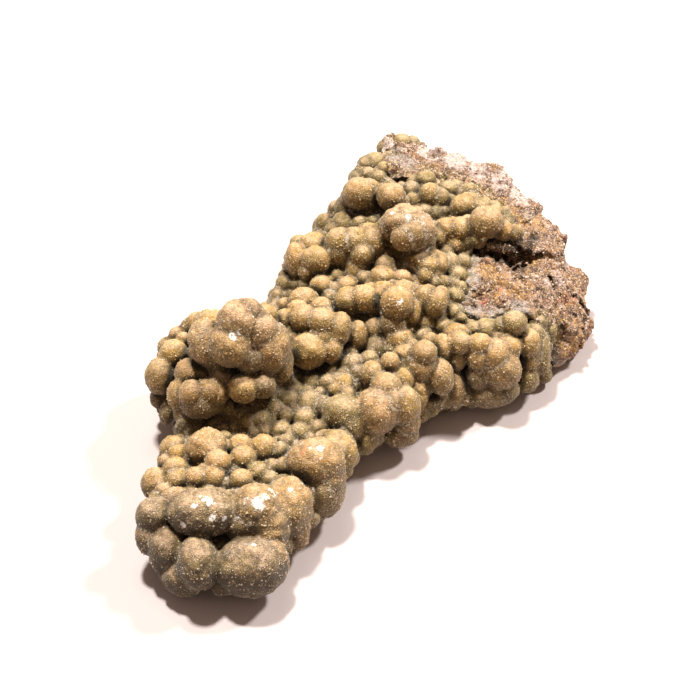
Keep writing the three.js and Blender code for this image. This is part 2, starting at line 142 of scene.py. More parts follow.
    (1.81, -5.21, 10.28, 1.23, 1.19, 1.21, 0, 'O'), (0.59, -12.04, 7.2, 1.23, 1.23, 1.23, 0, 'D'),
    (14.58, -21.56, 10.06, 1.24, 1.2, 1.22, 0, 'O'), (7.32, -21.8, 3.95, 2.17, 2.1, 2.12, 0, 'D'),
    (-0.78, -9.76, 9.2, 1.22, 1.38, 1.3, 0, 'O'), (-0.49, -11.73, 4.8, 1.23, 1.85, 1.54, 0, 'D'),
    (11.04, -19.14, 10.15, 1.7, 1.65, 1.66, 0, 'G'), (18.67, -24.38, 7.8, 1.25, 1.41, 1.33, 0, 'O'),
    (5.27, 3.87, 14.21, 2.24, 2.17, 2.2, 0, 'G'), (6.07, 1.68, 14.8, 2.16, 2.16, 2.16, 0, 'G'),
    (6.59, 0.38, 13.6, 1.55, 1.7, 1.62, 0, 'G'), (8.83, -0.45, 14.16, 2.17, 2.1, 2.12, 0, 'G'),
    (6.41, -3.74, 15.8, 2.46, 2.46, 2.46, 0, 'T'), (10.55, -3.07, 13.98, 2.17, 2.1, 2.13, 0, 'G'),
    (7.76, -5.87, 13.6, 1.39, 2.16, 1.77, -10, 'G'), (10.58, -6.96, 14.49, 2.16, 2.1, 2.12, 0, 'G'),
    (10.27, -8.45, 14.4, 1.85, 2.32, 2.08, -15, 'G'), (12.5, -8.5, 13.8, 1.24, 1.71, 1.47, 0, 'G'),
    (10.83, -5.33, 14.29, 1.55, 1.5, 1.52, 0, 'G'), (4.79, -3.83, 12.8, 2, 1.94, 1.96, 0, 'B'),
    (3.8, -0.91, 11.4, 1.54, 1.85, 1.7, 0, 'G'), (3.54, -5.6, 11.13, 2.08, 2.01, 2.04, 0, 'G'),
    (8.25, -7.72, 11.49, 1.7, 1.65, 1.67, 0, 'O'), (5.4, 1.02, 11.28, 1.39, 1.35, 1.37, 0, 'D'),
    (5.17, 2.62, 11.66, 1.24, 1.2, 1.22, 0, 'D'), (5.71, -8.67, 10.93, 1.54, 1.49, 1.51, 0, 'O'),
    (11.89, 16.19, 12.6, 1.74, 2.69, 2.21, 5, 'G'), (15.52, 14.77, 12.95, 2.38, 2.3, 2.33, 0, 'G'),
    (12.03, 12.75, 13.8, 2.28, 2.2, 2.23, 0, 'G'), (10.55, 13.45, 12.16, 1.42, 1.37, 1.39, 0, 'T'),
    (15.86, 10.37, 15.31, 2.36, 2.29, 2.32, 0, 'G'), (16.83, 8.39, 15.35, 2.36, 2.29, 2.31, 0, 'G'),
    (14.8, 10.22, 14.09, 2.05, 1.99, 2.01, 0, 'G'), (18.04, 5.65, 15.2, 1.89, 2.36, 2.13, -8, 'G'),
    (15.37, 6.32, 14.6, 1.89, 1.83, 1.85, 0, 'G'), (19.95, 7.23, 15.28, 1.58, 1.53, 1.55, 0, 'G'),
    (13.91, 11.21, 11.68, 1.58, 1.53, 1.55, 0, 'D'), (14.34, 6.53, 12.04, 2.05, 1.99, 2.01, 0, 'G'),
    (16.51, 3.02, 12.51, 1.89, 1.83, 1.85, 0, 'G'), (13.49, 1.83, 12.74, 2.19, 2.13, 2.15, 0, 'G'),
    (14.33, -1.06, 13.09, 1.56, 1.52, 1.53, 0, 'G'), (12.74, 4.41, 12.46, 1.25, 1.22, 1.23, 0, 'O'),
    (9.06, 10.48, 11.6, 1.73, 1.65, 1.68, 0, 'G'), (9.35, 8.19, 11.4, 1.02, 1.25, 1.14, 0, 'O'),
    (10.81, 6.8, 11.32, 1.73, 1.67, 1.69, 0, 'G'), (12.44, 9.3, 11.28, 1.42, 1.38, 1.39, 0, 'O'),
    (4.09, 11.03, 12.16, 2.33, 2.26, 2.29, 0, 'G'), (2.94, 13.79, 11.26, 1.25, 1.21, 1.22, 0, 'G'),
    (2.67, 7.25, 13.34, 1.85, 1.8, 1.82, 0, 'G'), (-1.65, 11.53, 12.8, 1.46, 1.85, 1.66, 0, 'G'),
    (-1.71, 8.22, 14.6, 2.15, 2.15, 2.15, 0, 'G'), (-1.34, 5.34, 14.7, 2.3, 2.23, 2.25, 0, 'G'),
    (-0.71, 2.77, 13.6, 1.84, 2.76, 2.3, -12, 'G'), (1.04, 0.36, 12, 1.46, 2.23, 1.85, 0, 'G'),
    (-5.34, 5.66, 12, 2.83, 2.75, 2.78, 0, 'G'), (-3.46, 2.66, 12, 1.53, 2.14, 1.84, 0, 'G'),
    (-4.72, 8.66, 13, 0.84, 0.84, 0.84, 0, 'G'), (9.16, 17.03, 9.4, 1.27, 1.42, 1.35, 0, 'O'),
    (6.62, 16.86, 8.8, 1.1, 1.26, 1.18, 0, 'O'), (5.21, 16.52, 8.4, 0.94, 1.1, 1.02, 0, 'O'),
    (9.36, 15.01, 9.8, 0.95, 0.95, 0.95, 0, 'O'), (1.44, -2.34, 9.74, 2, 1.94, 1.96, 0, 'D'),
    (-1.55, -2.7, 10.11, 1.53, 1.49, 1.5, 0, 'O'), (18.55, -2.25, 13.91, 1.96, 1.9, 1.92, 0, 'G'),
    (19.77, -3.76, 13.9, 1.73, 1.68, 1.7, 0, 'G'), (19.41, -5.32, 13.6, 1.34, 1.89, 1.61, -10, 'G'),
    (17.31, -1.96, 13.4, 1.26, 1.26, 1.26, 0, 'G'), (16.27, -4.13, 13.4, 1.17, 1.41, 1.29, 0, 'G'),
    (16.61, -5.54, 12, 1.49, 1.44, 1.46, 0, 'O'), (17.92, -4.95, 12.7, 1.57, 1.52, 1.54, 0, 'G'),
    (18, -3.86, 13.89, 1.72, 1.67, 1.69, 0, 'G'), (20.88, -6.42, 12.6, 1.58, 2.05, 1.81, 0, 'O'),
    (19.47, -8.41, 12.4, 1.41, 1.41, 1.41, 0, 'O'), (17.57, -8.21, 12.06, 1.25, 1.22, 1.23, 0, 'O'),
    (23.51, -4.75, 12.68, 1.43, 1.38, 1.4, 0, 'O'), (15.23, -9.73, 12.07, 1.4, 1.36, 1.38, 0, 'O'),
    (11.95, -10.82, 11.86, 1.32, 1.28, 1.29, 0, 'O'), (11.43, -12.4, 11.65, 0.93, 0.9, 0.91, 0, 'O'),
    (8.8, -10.51, 11.48, 1.39, 1.35, 1.36, 0, 'O'), (-1.39, 0.59, 10.09, 1.38, 1.34, 1.36, 0, 'D'),
    (-2.81, 4.65, 13.3, 1.83, 1.78, 1.8, 0, 'G'), (8.97, -5.14, 14.4, 1.39, 1.39, 1.39, 0, 'G'),
    (17.18, -7.35, 12.26, 1.25, 1.22, 1.23, 0, 'O'), (10.02, -8.78, 11.89, 1.55, 1.5, 1.52, 0, 'O'),
    (20.86, 1.34, 11.68, 1.43, 1.38, 1.4, 0, 'D'), (17.59, 1.08, 12, 1.26, 1.26, 1.26, 0, 'D'),
    (4.77, -2.51, 11, 1.24, 1.39, 1.31, 0, 'D'), (2.9, -7.9, 11.28, 1.23, 1.19, 1.2, 0, 'O'),
    (1.08, 10.6, 13.29, 1.55, 1.5, 1.51, 0, 'G'), (14.99, 8.57, 13.08, 1.58, 1.53, 1.55, 0, 'D'),
    (17.14, 3.83, 12.46, 1.26, 1.23, 1.24, 0, 'O'), (9.17, 1.91, 13.68, 1.4, 1.36, 1.37, 0, 'G'),
    (9.64, 13.39, 10.06, 1.42, 1.38, 1.39, 0, 'D'), (4.89, 4.89, 11.52, 1.55, 1.5, 1.52, 0, 'D'),
    (22.6, -7.92, 12.4, 1.26, 1.42, 1.34, 0, 'O'), (17.12, -9.93, 12.4, 0.94, 1.09, 1.02, 0, 'O'),
    (6.47, -2.56, 13.11, 1.54, 1.5, 1.51, 0, 'B'), (7.55, 8.21, 11.06, 1.25, 1.21, 1.23, 0, 'D'),
    (21.19, 1.59, 18.6, 3.61, 2.51, 2.9, 0, 'P'), (21.28, -1.48, 18, 1.88, 2.51, 2.2, 0, 'P'),
    (18.3, 0.45, 18, 2.03, 2.03, 2.03, 0, 'T'), (20.01, 3.46, 17.8, 1.73, 2.04, 1.89, 0, 'P'),
    (19.83, -0.06, 18, 2.82, 2.51, 2.62, 0, 'T'), (27.86, 12.63, 15.31, 2.57, 2.49, 2.52, 0, 'T'),
    (29.48, 11.43, 15.2, 1.69, 1.77, 1.73, 0, 'G'), (29.14, 7.57, 15.49, 2.25, 2.18, 2.2, 0, 'T'),
    (26.02, -3.59, 15.2, 1.74, 1.74, 1.74, 0, 'G'), (26.9, -5.46, 15.2, 1.9, 1.9, 1.9, 0, 'G'),
    (25.39, -5.3, 12.92, 2.06, 2, 2.02, 0, 'G'), (26.35, -6.77, 13.8, 1.19, 1.59, 1.39, 0, 'O'),
    (24.3, -2.81, 14.6, 1.42, 1.58, 1.5, 0, 'G'), (28.91, -9.04, 16.4, 2.61, 2.53, 2.56, 0, 'T'),
    (29.91, -11.43, 14.67, 1.75, 1.69, 1.71, 0, 'G'), (30.62, -13.06, 13.95, 1.19, 1.16, 1.17, 0, 'G'),
    (33.7, -3.09, 13.59, 2.01, 1.95, 1.97, 0, 'G'), (35.89, -3.22, 12.52, 1.94, 1.88, 1.9, 0, 'G'),
    (35.58, -5.45, 12.7, 1.77, 1.72, 1.74, 0, 'O'), (33.73, 2.73, 14.2, 1.61, 1.77, 1.69, 0, 'G'),
    (34.15, 1.13, 13.6, 1.61, 1.61, 1.61, 0, 'O'), (37.59, 1.2, 12.6, 1.46, 1.46, 1.46, 0, 'O'),
    (32.62, -0.45, 12.4, 0.97, 0.97, 0.97, 0, 'D'), (31.99, 0.86, 12.06, 1.45, 1.41, 1.42, 0, 'D'),
    (35.04, 6.64, 12.4, 1.46, 1.63, 1.54, 0, 'D'), (39.7, 6.02, 11.28, 1.64, 1.59, 1.61, 0, 'O'),
    (37.25, 15.34, 11.2, 1.15, 1.15, 1.15, 0, 'O'), (36.59, 13.24, 11.6, 1.15, 1.23, 1.19, 0, 'O'),
    (42.49, 16.46, 8.69, 2.16, 2.1, 2.12, 0, 'O'), (41.13, 17.49, 9.4, 1.16, 1.16, 1.16, 0, 'O'),
    (28.06, 15.04, 11.48, 1.78, 1.73, 1.75, 0, 'D'), (28.7, 17.32, 9.6, 1.14, 1.3, 1.22, 0, 'D'),
    (24.62, 17.36, 9.8, 1.3, 1.54, 1.42, 0, 'O'), (24.78, 13.86, 10.52, 2.09, 2.03, 2.05, 0, 'O'),
    (24.88, 10.89, 11.86, 1.45, 1.4, 1.42, 0, 'O'), (32.47, 5.14, 12.6, 1.46, 1.46, 1.46, 0, 'O'),
    (29.23, 8.98, 11.46, 1.45, 1.41, 1.43, 0, 'D'), (29.26, 12.38, 11.26, 1.46, 1.41, 1.43, 0, 'D'),
    (31.27, 2.48, 12.46, 1.29, 1.25, 1.26, 0, 'O'), (39.76, -1.78, 11.67, 1.47, 1.42, 1.44, 0, 'O'),
    (40.15, 0.85, 11.26, 1.31, 1.27, 1.28, 0, 'O'), (49.79, 14.82, 8.66, 1.51, 1.47, 1.48, 0, 'O'),
    (44.26, 14.54, 9.45, 1.33, 1.29, 1.3, 0, 'O'), (39.95, 13.68, 10.65, 1.32, 1.28, 1.29, 0, 'O'),
    (33.44, -8.75, 14.46, 1.44, 1.4, 1.41, 0, 'O'), (23.17, 14.89, 10.28, 1.45, 1.41, 1.42, 0, 'O'),
    (27.31, 13.61, 10.86, 1.29, 1.26, 1.27, 0, 'O'), (35, -0.28, 12.6, 1.29, 1.29, 1.29, 0, 'O'),
    (25.43, 9.2, 12.25, 1.12, 1.09, 1.1, 0, 'O'), (-42.57, 1.88, 5.6, 1.74, 2.03, 1.89, 0, 'B'),
]
SLAB_OUTLINE = [
    (-45.13, 6.67), (-42.24, -1.91), (-35.17, -5.23), (-25.81, -6.38), (-17.71, -4.82), (-8.83, -7.29),
    (0.83, -13.82), (6.93, -19.8), (16.63, -25.21), (21.67, -28.93), (26.38, -28.39), (31.4, -24.95),
    (35.78, -20.15), (39.26, -15.77), (42.94, -11.84), (46.42, -7.46), (48.56, -2.6), (49.17, 3.2),
    (49.77, 9), (50.83, 15.01), (48.66, 17.31), (42.41, 17.7), (35.01, 17.01), (27.61, 16.32),
    (20.48, 17.41), (13.08, 16.71), (5.25, 16.93), (-4.47, 21.22), (-11.06, 25.87), (-16.92, 24.24),
    (-20.24, 17.18), (-27.85, 16.94), (-37.76, 14.52), (-43.68, 10.66),
]
BLOCK_OUTLINE = [
    (48.93, 17.43), (43.25, 15.89), (39.5, 9.73), (35.33, 4.47), (32.92, -2.17), (24.76, -5.98),
    (18.05, -5.79), (12.62, -8.33), (10.65, -14.76), (14.97, -20.47), (17.53, -24.79), (22.13, -28.72),
    (26.38, -28.39), (31.4, -24.95), (35.78, -20.15), (39.26, -15.77), (42.94, -11.84), (46.42, -7.46),
    (48.56, -2.6), (49.17, 3.2), (49.77, 9), (50.83, 15.01),
]
WHITE_SPOTS = [
    (-42.69, 5.77, 13.87, 0.72), (-41.16, 4.45, 14.03, 1), (-42.82, 3.01, 12.73, 0.57), (-41.82, 1.78, 12.09, 0.57),
    (-44.7, 6.78, 11.36, 0.57), (-38.12, -2.03, 13.37, 1.29), (-38.4, -0.24, 13.46, 0.58), (-34.76, -2.6, 12.47, 1.01),
    (-40.16, 0.22, 11.38, 0.43), (-40.32, -1.62, 11.11, 0.43), (-42.76, -3.44, 9.71, 0.43), (-16.63, 12.71, 22, 0.74),
    (-24.18, -2.33, 12.84, 0.44), (-25.79, -6.02, 12.8, 0.44), (-24.44, -5.39, 13.36, 0.59), (-25.06, -4.06, 13.35, 0.44),
    (-28.27, -6.03, 8.78, 0.44), (5.09, -4.73, 17.62, 0.61), (-41.36, 5.64, 14.1, 0.72), (-41.03, 2.93, 13.53, 0.57),
    (-36.68, -2.44, 13.42, 0.72), (19.86, 3.16, 20.84, 0.47), (19.94, 0.46, 20.95, 0.62), (20.62, -1.64, 20.15, 0.47),
    (-15.6, 11.89, 22.47, 0.59), (-32.35, -4.31, 11.75, 0.44),
]
ORANGE_SPECKS = [
    (-45.71, 13.96, 7.52, 0.32), (-47.39, 6.77, 6.13, 0.32), (-26.02, -3.38, 12.91, 0.44), (-43.68, -4.69, 9.52, 0.29),
    (-25.36, -3.55, 13.2, 0.37),
]
ROCK_RUST = [
    (27.55, -23.26, 6.5, 0.95), (28.45, -24.33, 5.5, 0.8), (25.7, -22.78, 7, 0.63), (16.28, -14.21, 11.8, 0.55),
    (13.26, -20.72, 11, 0.39), (20.09, -15.32, 11.8, 0.31),
]
ROCK_OCHRE = [
    (28.43, -17.51, 11.5, 1.11), (28.97, -16.06, 12, 0.79), (22.73, -12.16, 12, 1.42), (21.81, -14.59, 12, 1.41),
    (20.56, -16.3, 12, 1.25), (22.93, -10.36, 12, 0.95), (36.69, -12.72, 12, 1.45), (37.61, -10.07, 12, 1.13),
    (38.38, -7.65, 12, 1.13), (36.89, -15.26, 11.5, 0.96), (38.38, -5.9, 12, 0.97), (22.81, -19.29, 11.5, 0.78),
    (22.08, -17.73, 11.5, 0.63), (22.93, -26.78, 4, 1.11), (20.01, -25.91, 4, 0.94), (15.8, -25.63, 3, 0.63),
    (24.27, -26.7, 5, 1.11), (22.54, -28.63, 4, 0.95), (18.73, -27.44, 4, 0.94), (20.1, -24.58, 6, 0.63),
    (20.67, -27.85, 4, 0.94), (20.95, -18.39, 11, 0.94), (18.64, -15.26, 11.5, 0.94), (37.59, -14.46, 11.5, 0.81),
    (29.49, -18.47, 11, 0.63), (38.61, -0.51, 12, 0.65), (29.67, -12.14, 12.5, 0.64), (27.25, -9.2, 12.5, 0.64),
]
# Pale patches of the rock; the big ones along the far rim also stand for a painted highlight on it.
ROCK_PALE_AND_RIM_HIGHLIGHT = [
    (26.3, -20.53, 9.5, 0.95), (29.24, -20.56, 9, 0.95), (25.21, -21.33, 9, 0.79), (48.59, 9.17, 9.5, 2),
    (47.74, 4.26, 9.5, 2.16), (46.99, -0.21, 9.5, 1.98), (46.18, -4.49, 9.5, 1.98), (44.27, -8.13, 9.5, 1.64),
    (49.77, 7.86, 9.5, 1.67), (49.74, -4.1, 9, 1.33), (43.2, -9.99, 9.5, 1.31), (50.18, 3.48, 9, 1.33),
    (34.39, -21.13, 8, 0.8), (23.11, -20.65, 9, 0.94), (21.89, -21.68, 8.5, 0.79), (28.57, -21.71, 8.5, 0.79),
    (23.98, -19.42, 9.5, 0.63), (45.47, -10.11, 9.5, 1.64), (50.56, 0.04, 9.5, 1.5), (42.64, -14.46, 9, 0.98),
    (47.21, 16.79, 9.6, 1.67),
]
ROCK_DARK = [
    (28.99, -13.3, 12, 1.91), (29.42, -11.4, 12, 1.59), (29.36, -15.21, 12, 1.59), (27.67, -15.32, 10, 1.43),
    (28.09, -13.42, 10, 1.43), (28.48, -17.05, 10, 0.95), (31.68, -15.49, 11.5, 1.28), (34.4, -15.44, 11, 0.96),
    (27.48, -11.92, 11, 1.11), (21.84, -25.06, 6, 0.63), (25.45, -24.64, 6, 0.79), (31.27, -24.1, 5, 0.64),
    (22.56, -27.37, 5, 0.63), (23.65, -25.7, 6, 0.63), (25.94, -27.57, 5, 0.63), (20.28, -26.25, 5, 0.47),
    (31.36, -13.87, 12, 1.12), (35.07, -16.89, 11, 0.64), (33.18, -20.46, 7, 0.64), (34.41, -18.13, 9, 0.64),
]
ROCK_GREY = [
    (19.69, -10.04, 12, 1.88), (15.75, -10.87, 12, 1.25), (13.39, -13.91, 12, 1.55), (14.29, -16.9, 12, 1.4),
    (17.27, -19.88, 11.5, 1.56), (23.83, -8.95, 12, 1.27), (16.9, -9.53, 12, 0.94), (17.93, -25.95, 3, 1.1),
    (17.9, -27.72, 2, 0.94), (18.16, -24.62, 4, 0.79), (38.02, -12.69, 12, 0.97), (33.95, -15.62, 11, 0.8),
    (44.6, 13.77, 9.6, 1.66), (43.86, 11.07, 9.6, 1.33),
]
BARE_ZONE = [
    (26.5, 18.0), (24.0, 17.4), (21.7, 17.3), (19.2, 16.0), (18.3, 12.4), (16.7, 9.3), (16.4, 8.1), (17.4, 6.5),
    (18.3, 5.0), (22.2, 4.2), (23.2, 5.3), (25.3, 6.0), (28.2, 5.9), (30.5, 5.0), (32.2, 3.4), (31.8, 1.6),
    (31.0, -0.3), (31.2, -3.4), (39.5, -3.4), (42.6, 7.8), (39.5, 17.8), (32.5, 27.9), (20.1, 32.9), (13.9, 32.9),
    (11.5, 29.8), (13.3, 28.2), (16.3, 26.7), (19.5, 25.3), (22.5, 23.6), (24.5, 22.2), (25.7, 20.0), (26.8, 18.6),
]
VIEW_REACH = 420.0
GROW_X = (0.42262, -0.90631, 0.00000)
GROW_Y = (0.62957, 0.29358, 0.71934)
GROW_Z = (0.65194, 0.30401, -0.69466)
EYE = (-272.555, -125.858, 299.757)
HALF_WIDTH_OVER_DISTANCE = 0.129167

SLAB_TOP, SLAB_BEVEL = 5.4, 1.6
BLOCK_TOP, BLOCK_BEVEL = 11.6, 1.8
ROCK_HUMPS = [
    (29.60, -13.30, 12.3, 2.1, 3.2, 1.7), (29.10, -10.60, 12.5, 2.2, 2.8, 1.8), (30.70, -16.80, 11.9, 2.0, 2.6, 1.6),
    (47.70, 12.32, 8.4, 3.2, 3.6, 3.0), (46.70, 4.82, 8.6, 3.8, 4.2, 3.0), (45.30, -2.99, 8.8, 3.6, 4.4, 3.1),
    (42.20, -9.37, 9.0, 3.4, 3.8, 3.0), (37.30, -15.36, 8.0, 3.6, 3.8, 3.0), (42.00, 11.24, 9.6, 4.0, 3.2, 2.2),
    (30.61, -22.46, 6.2, 4.0, 3.0, 3.0), (25.46, -25.46, 4.2, 3.4, 3.0, 3.2), (20.50, -25.06, 3.4, 3.2, 2.6, 2.8),
    (22.19, -17.97, 10.6, 6.0, 5.5, 2.0), (21.22, -12.58, 10.8, 5.0, 4.5, 2.0), (27.60, -19.18, 10.2, 4.0, 3.4, 2.0),
]
ROCK_HOLLOWS = [(28.00, -14.30, 10.6, 2.7, 3.7, 2.1), (27.20, -11.20, 11.2, 1.8, 2.4, 1.3)]
BROKEN_FACES = [
    ((27.80, -20.56, 11.2), (0.18, -0.63, 0.75)), ((47.80, 1.14, 11.0), (0.62, 0.05, 0.78)),
    ((38.80, -17.36, 9.6), (0.55, -0.45, 0.70)), ((49.90, 9.14, 6.0), (0.96, 0.10, -0.25)),
    ((22.80, -29.06, 3.6), (-0.15, -0.97, -0.20)),
]

# ---------------------------------------------------------------- noise
_rng = np.random.default_rng(11)
_PERM = _rng.permutation(256)
_PERM = np.concatenate([_PERM, _PERM, _PERM])
_GRAD = _rng.normal(size=(256, 3))
_GRAD /= np.linalg.norm(_GRAD, axis=1, keepdims=True)


def noise(p, freq=1.0, seed=0):
    """Gradient noise, about -0.8 to 0.8."""
    p = np.asarray(p, np.float64) * freq + seed * 17.317
    i = np.floor(p).astype(np.int64)
    f = p - i
    u = f * f * f * (f * (f * 6 - 15) + 10)
    i &= 255

    def corner(dx, dy, dz):
        h = _PERM[_PERM[_PERM[i[:, 0] + dx] + i[:, 1] + dy] + i[:, 2] + dz]
        g = _GRAD[h]
        return g[:, 0] * (f[:, 0] - dx) + g[:, 1] * (f[:, 1] - dy) + g[:, 2] * (f[:, 2] - dz)

    def mix(a, b, t):
        return a + (b - a) * t
    x00 = mix(corner(0, 0, 0), corner(1, 0, 0), u[:, 0])
    x10 = mix(corner(0, 1, 0), corner(1, 1, 0), u[:, 0])
    x01 = mix(corner(0, 0, 1), corner(1, 0, 1), u[:, 0])
    x11 = mix(corner(0, 1, 1), corner(1, 1, 1), u[:, 0])
    return mix(mix(x00, x10, u[:, 1]), mix(x01, x11, u[:, 1]), u[:, 2])


def fbm(p, freq, octaves, gain=0.5, seed=0):
    out, amp = np.zeros(len(p)), 1.0
    for k in range(octaves):
        out += amp * noise(p, freq, seed + 3 * k)
        freq *= 2.03
        amp *= gain
    return out


def cells(p, freq, seed=0):
    """Distances to the nearest and second nearest of scattered points, in cell units, and the nearest one's number."""
    q = np.asarray(p, np.float64) * freq + seed * 5.73
    base = np.floor(q).astype(np.int64)
    d1 = np.full(len(q), 9.0)
    d2 = np.full(len(q), 9.0)
    who = np.zeros(len(q), np.int64)
    for dx in (-1, 0, 1):
        for dy in (-1, 0, 1):
            for dz in (-1, 0, 1):
                c = base + (dx, dy, dz)
                h = _PERM[_PERM[_PERM[c[:, 0] & 255] + (c[:, 1] & 255)] + (c[:, 2] & 255)]
                point = c + 0.5 + 0.45 * _GRAD[h]
                d = np.linalg.norm(q - point, axis=1)
                near = d < d1
                d2 = np.where(near, d1, np.minimum(d2, d))
                who = np.where(near, h, who)
                d1 = np.where(near, d, d1)
    return d1, d2, who


def step(a, b, x):
    t = np.clip((x - a) / (b - a), 0, 1)
    return t * t * (3 - 2 * t)


# ---------------------------------------------------------------- distance fields
GROW = np.array([GROW_X, GROW_Y, GROW_Z])
LEVEL = np.eye(3)


def turned(deg):
    a = math.radians(deg)
    c, s = math.cos(a), math.sin(a)
    return np.array([c * GROW[0] + s * GROW[1], -s * GROW[0] + c * GROW[1], GROW[2]])


class Ball:
    def __init__(self, centre, radii, axes=LEVEL, tone="D"):
        self.c = np.array(centre, float)
        self.r = np.array(radii, float)
        self.m = axes
        self.tone = tone
        self.reach = float(self.r.max())

    def distance(self, p, normal=False):
        q = (p - self.c) @ self.m.T
        a = q / self.r
        b = a / self.r
        k0 = np.sqrt((a * a).sum(-1)) + 1e-9
        k1 = np.sqrt((b * b).sum(-1)) + 1e-9
        d = k0 * (k0 - 1) / k1
        if normal:
            return d, (b / k1[:, None]) @ self.m
        return d


def smin(a, b, k):
    h = np.maximum(k - np.abs(a - b), 0) / k
    return np.minimum(a, b) - h * h * k * 0.25


class Grid:
    def __init__(self, lo, hi, h):
        self.h = h
        self.lo = np.array(lo, float)
        self.n = np.ceil((np.array(hi) - self.lo) / h).astype(int) + 1
        self.f = np.full(tuple(self.n), 6.0, np.float32)
        self.ax = [self.lo[i] + h * np.arange(self.n[i]) for i in range(3)]

    def window(self, lo, hi):
        a = np.clip(np.floor((np.array(lo) - self.lo) / self.h).astype(int), 0, self.n)
        b = np.clip(np.ceil((np.array(hi) - self.lo) / self.h).astype(int) + 1, 0, self.n)
        return tuple(slice(a[i], b[i]) for i in range(3))

    def points(self, w):
        x, y, z = np.meshgrid(*[self.ax[i][w[i]] for i in range(3)], indexing="ij")
        return np.stack([x, y, z], -1).reshape(-1, 3)

    def add(self, ball, k, margin=2.4):
        w = self.window(ball.c - ball.reach - margin, ball.c + ball.reach + margin)
        shape = self.f[w].shape
        if 0 in shape:
            return
        d = ball.distance(self.points(w)).reshape(shape)
        self.f[w] = smin(self.f[w], d, k)

    def sample(self, p):
        q = (p - self.lo) / self.h
        q = np.clip(q, 0, np.array(self.n) - 1.001)
        i = q.astype(int)
        f = q - i
        out = 0
        for dx in (0, 1):
            for dy in (0, 1):
                for dz in (0, 1):
                    wgt = (f[:, 0] if dx else 1 - f[:, 0]) * (f[:, 1] if dy else 1 - f[:, 1]) * (f[:, 2] if dz else 1 - f[:, 2])
                    out = out + wgt * self.f[i[:, 0] + dx, i[:, 1] + dy, i[:, 2] + dz]
        return out

    def slope(self, p, e=None):
        e = e or self.h
        g = np.stack([self.sample(p + np.eye(3)[k] * e) - self.sample(p - np.eye(3)[k] * e) for k in range(3)], 1)
        return g / (np.linalg.norm(g, axis=1, keepdims=True) + 1e-9)


def surface(grid):
    """The zero surface of a grid as vertices (mm) and quads that face outwards."""
    f = grid.f
    s = f < 0
    count = np.zeros(tuple(np.array(f.shape) - 1), np.uint8)
    for dx in (0, 1):
        for dy in (0, 1):
            for dz in (0, 1):
                count += s[dx:s.shape[0] - 1 + dx, dy:s.shape[1] - 1 + dy, dz:s.shape[2] - 1 + dz]
    ijk = np.argwhere((count > 0) & (count < 8))
    number = np.full(count.shape, -1, np.int32)
    number[ijk[:, 0], ijk[:, 1], ijk[:, 2]] = np.arange(len(ijk))
    corner = {}
    for dx in (0, 1):
        for dy in (0, 1):
            for dz in (0, 1):
                corner[dx, dy, dz] = f[ijk[:, 0] + dx, ijk[:, 1] + dy, ijk[:, 2] + dz].astype(float)
    acc = np.zeros((len(ijk), 3))
    cnt = np.zeros(len(ijk))
    for a in corner:
        for axis in range(3):
            if a[axis]:
                continue
            b = tuple(1 if i == axis else a[i] for i in range(3))
            va, vb = corner[a], corner[b]
            m = (va < 0) != (vb < 0)
            t = va[m] / (va[m] - vb[m])
            pos = np.tile(np.array(a, float), (m.sum(), 1))
            pos[:, axis] = t
            acc[m] += pos
            cnt[m] += 1
    verts = grid.lo + grid.h * (ijk + acc / cnt[:, None])
    quads = []
    for axis in range(3):
        u, v = (axis + 1) % 3, (axis + 2) % 3
        lo = [slice(1, -1)] * 3
        hi = [slice(1, -1)] * 3
        lo[axis], hi[axis] = slice(0, -1), slice(1, None)
        a, b = s[tuple(lo)], s[tuple(hi)]
        e = np.argwhere(a != b)
        inside_low = a[e[:, 0], e[:, 1], e[:, 2]]
        base = e.copy()
        for i in range(3):
            if i != axis:
                base[:, i] += 1
        ring = []
        for du, dv in ((-1, -1), (0, -1), (0, 0), (-1, 0)):
            c = base.copy()
            c[:, u] += du
            c[:, v] += dv
            ring.append(number[c[:, 0], c[:, 1], c[:, 2]])
        ring = np.stack(ring, 1)
        ring[~inside_low] = ring[~inside_low][:, ::-1]
        quads.append(ring)
    quads = np.concatenate(quads)
    return verts, quads[(quads >= 0).all(1)]


def largest_shell(verts, faces):
    """Drops loose crumbs: keeps the connected part with the most vertices."""
    label = np.arange(len(verts))
    for _ in range(400):
        low = label[faces].min(1)
        new = label.copy()
        for k in range(faces.shape[1]):
            np.minimum.at(new, faces[:, k], low)
        new = new[new]
        if (new == label).all():
            break
        label = new
    ids, n = np.unique(label, return_counts=True)
    keep = label == ids[n.argmax()]
    remap = np.cumsum(keep) - 1
    faces = faces[keep[faces].all(1)]
    return verts[keep], remap[faces]


def vertex_normals(verts, faces):
    a, b, c = verts[faces[:, 0]], verts[faces[:, 1]], verts[faces[:, 2]]
    n = np.cross(b - a, c - a)
    if faces.shape[1] == 4:
        n = np.cross(verts[faces[:, 2]] - verts[faces[:, 0]], verts[faces[:, 3]] - verts[faces[:, 1]])
    out = np.zeros_like(verts)
    for k in range(faces.shape[1]):
        np.add.at(out, faces[:, k], n)
    return out / (np.linalg.norm(out, axis=1, keepdims=True) + 1e-12)


def make_mesh(name, verts_mm, faces, smooth=True):
    n, k = faces.shape
    mesh = bpy.data.meshes.new(name)
    mesh.vertices.add(len(verts_mm))
    mesh.vertices.foreach_set("co", (np.asarray(verts_mm, np.float32) * 0.001).ravel())
    mesh.loops.add(n * k)
    mesh.loops.foreach_set("vertex_index", np.asarray(faces, np.int32).ravel())
    mesh.polygons.add(n)
    mesh.polygons.foreach_set("loop_start", np.arange(0, n * k, k, dtype=np.int32))
    mesh.polygons.foreach_set("use_smooth", np.full(n, smooth))
    mesh.update(calc_edges=True)
    mesh.validate()
    ob = bpy.data.objects.new(name, mesh)
    bpy.context.collection.objects.link(ob)
    return ob


def put_float(mesh, name, values):
    a = mesh.attributes.new(name, "FLOAT", "POINT")
    a.data.foreach_set("value", np.asarray(values, np.float32))


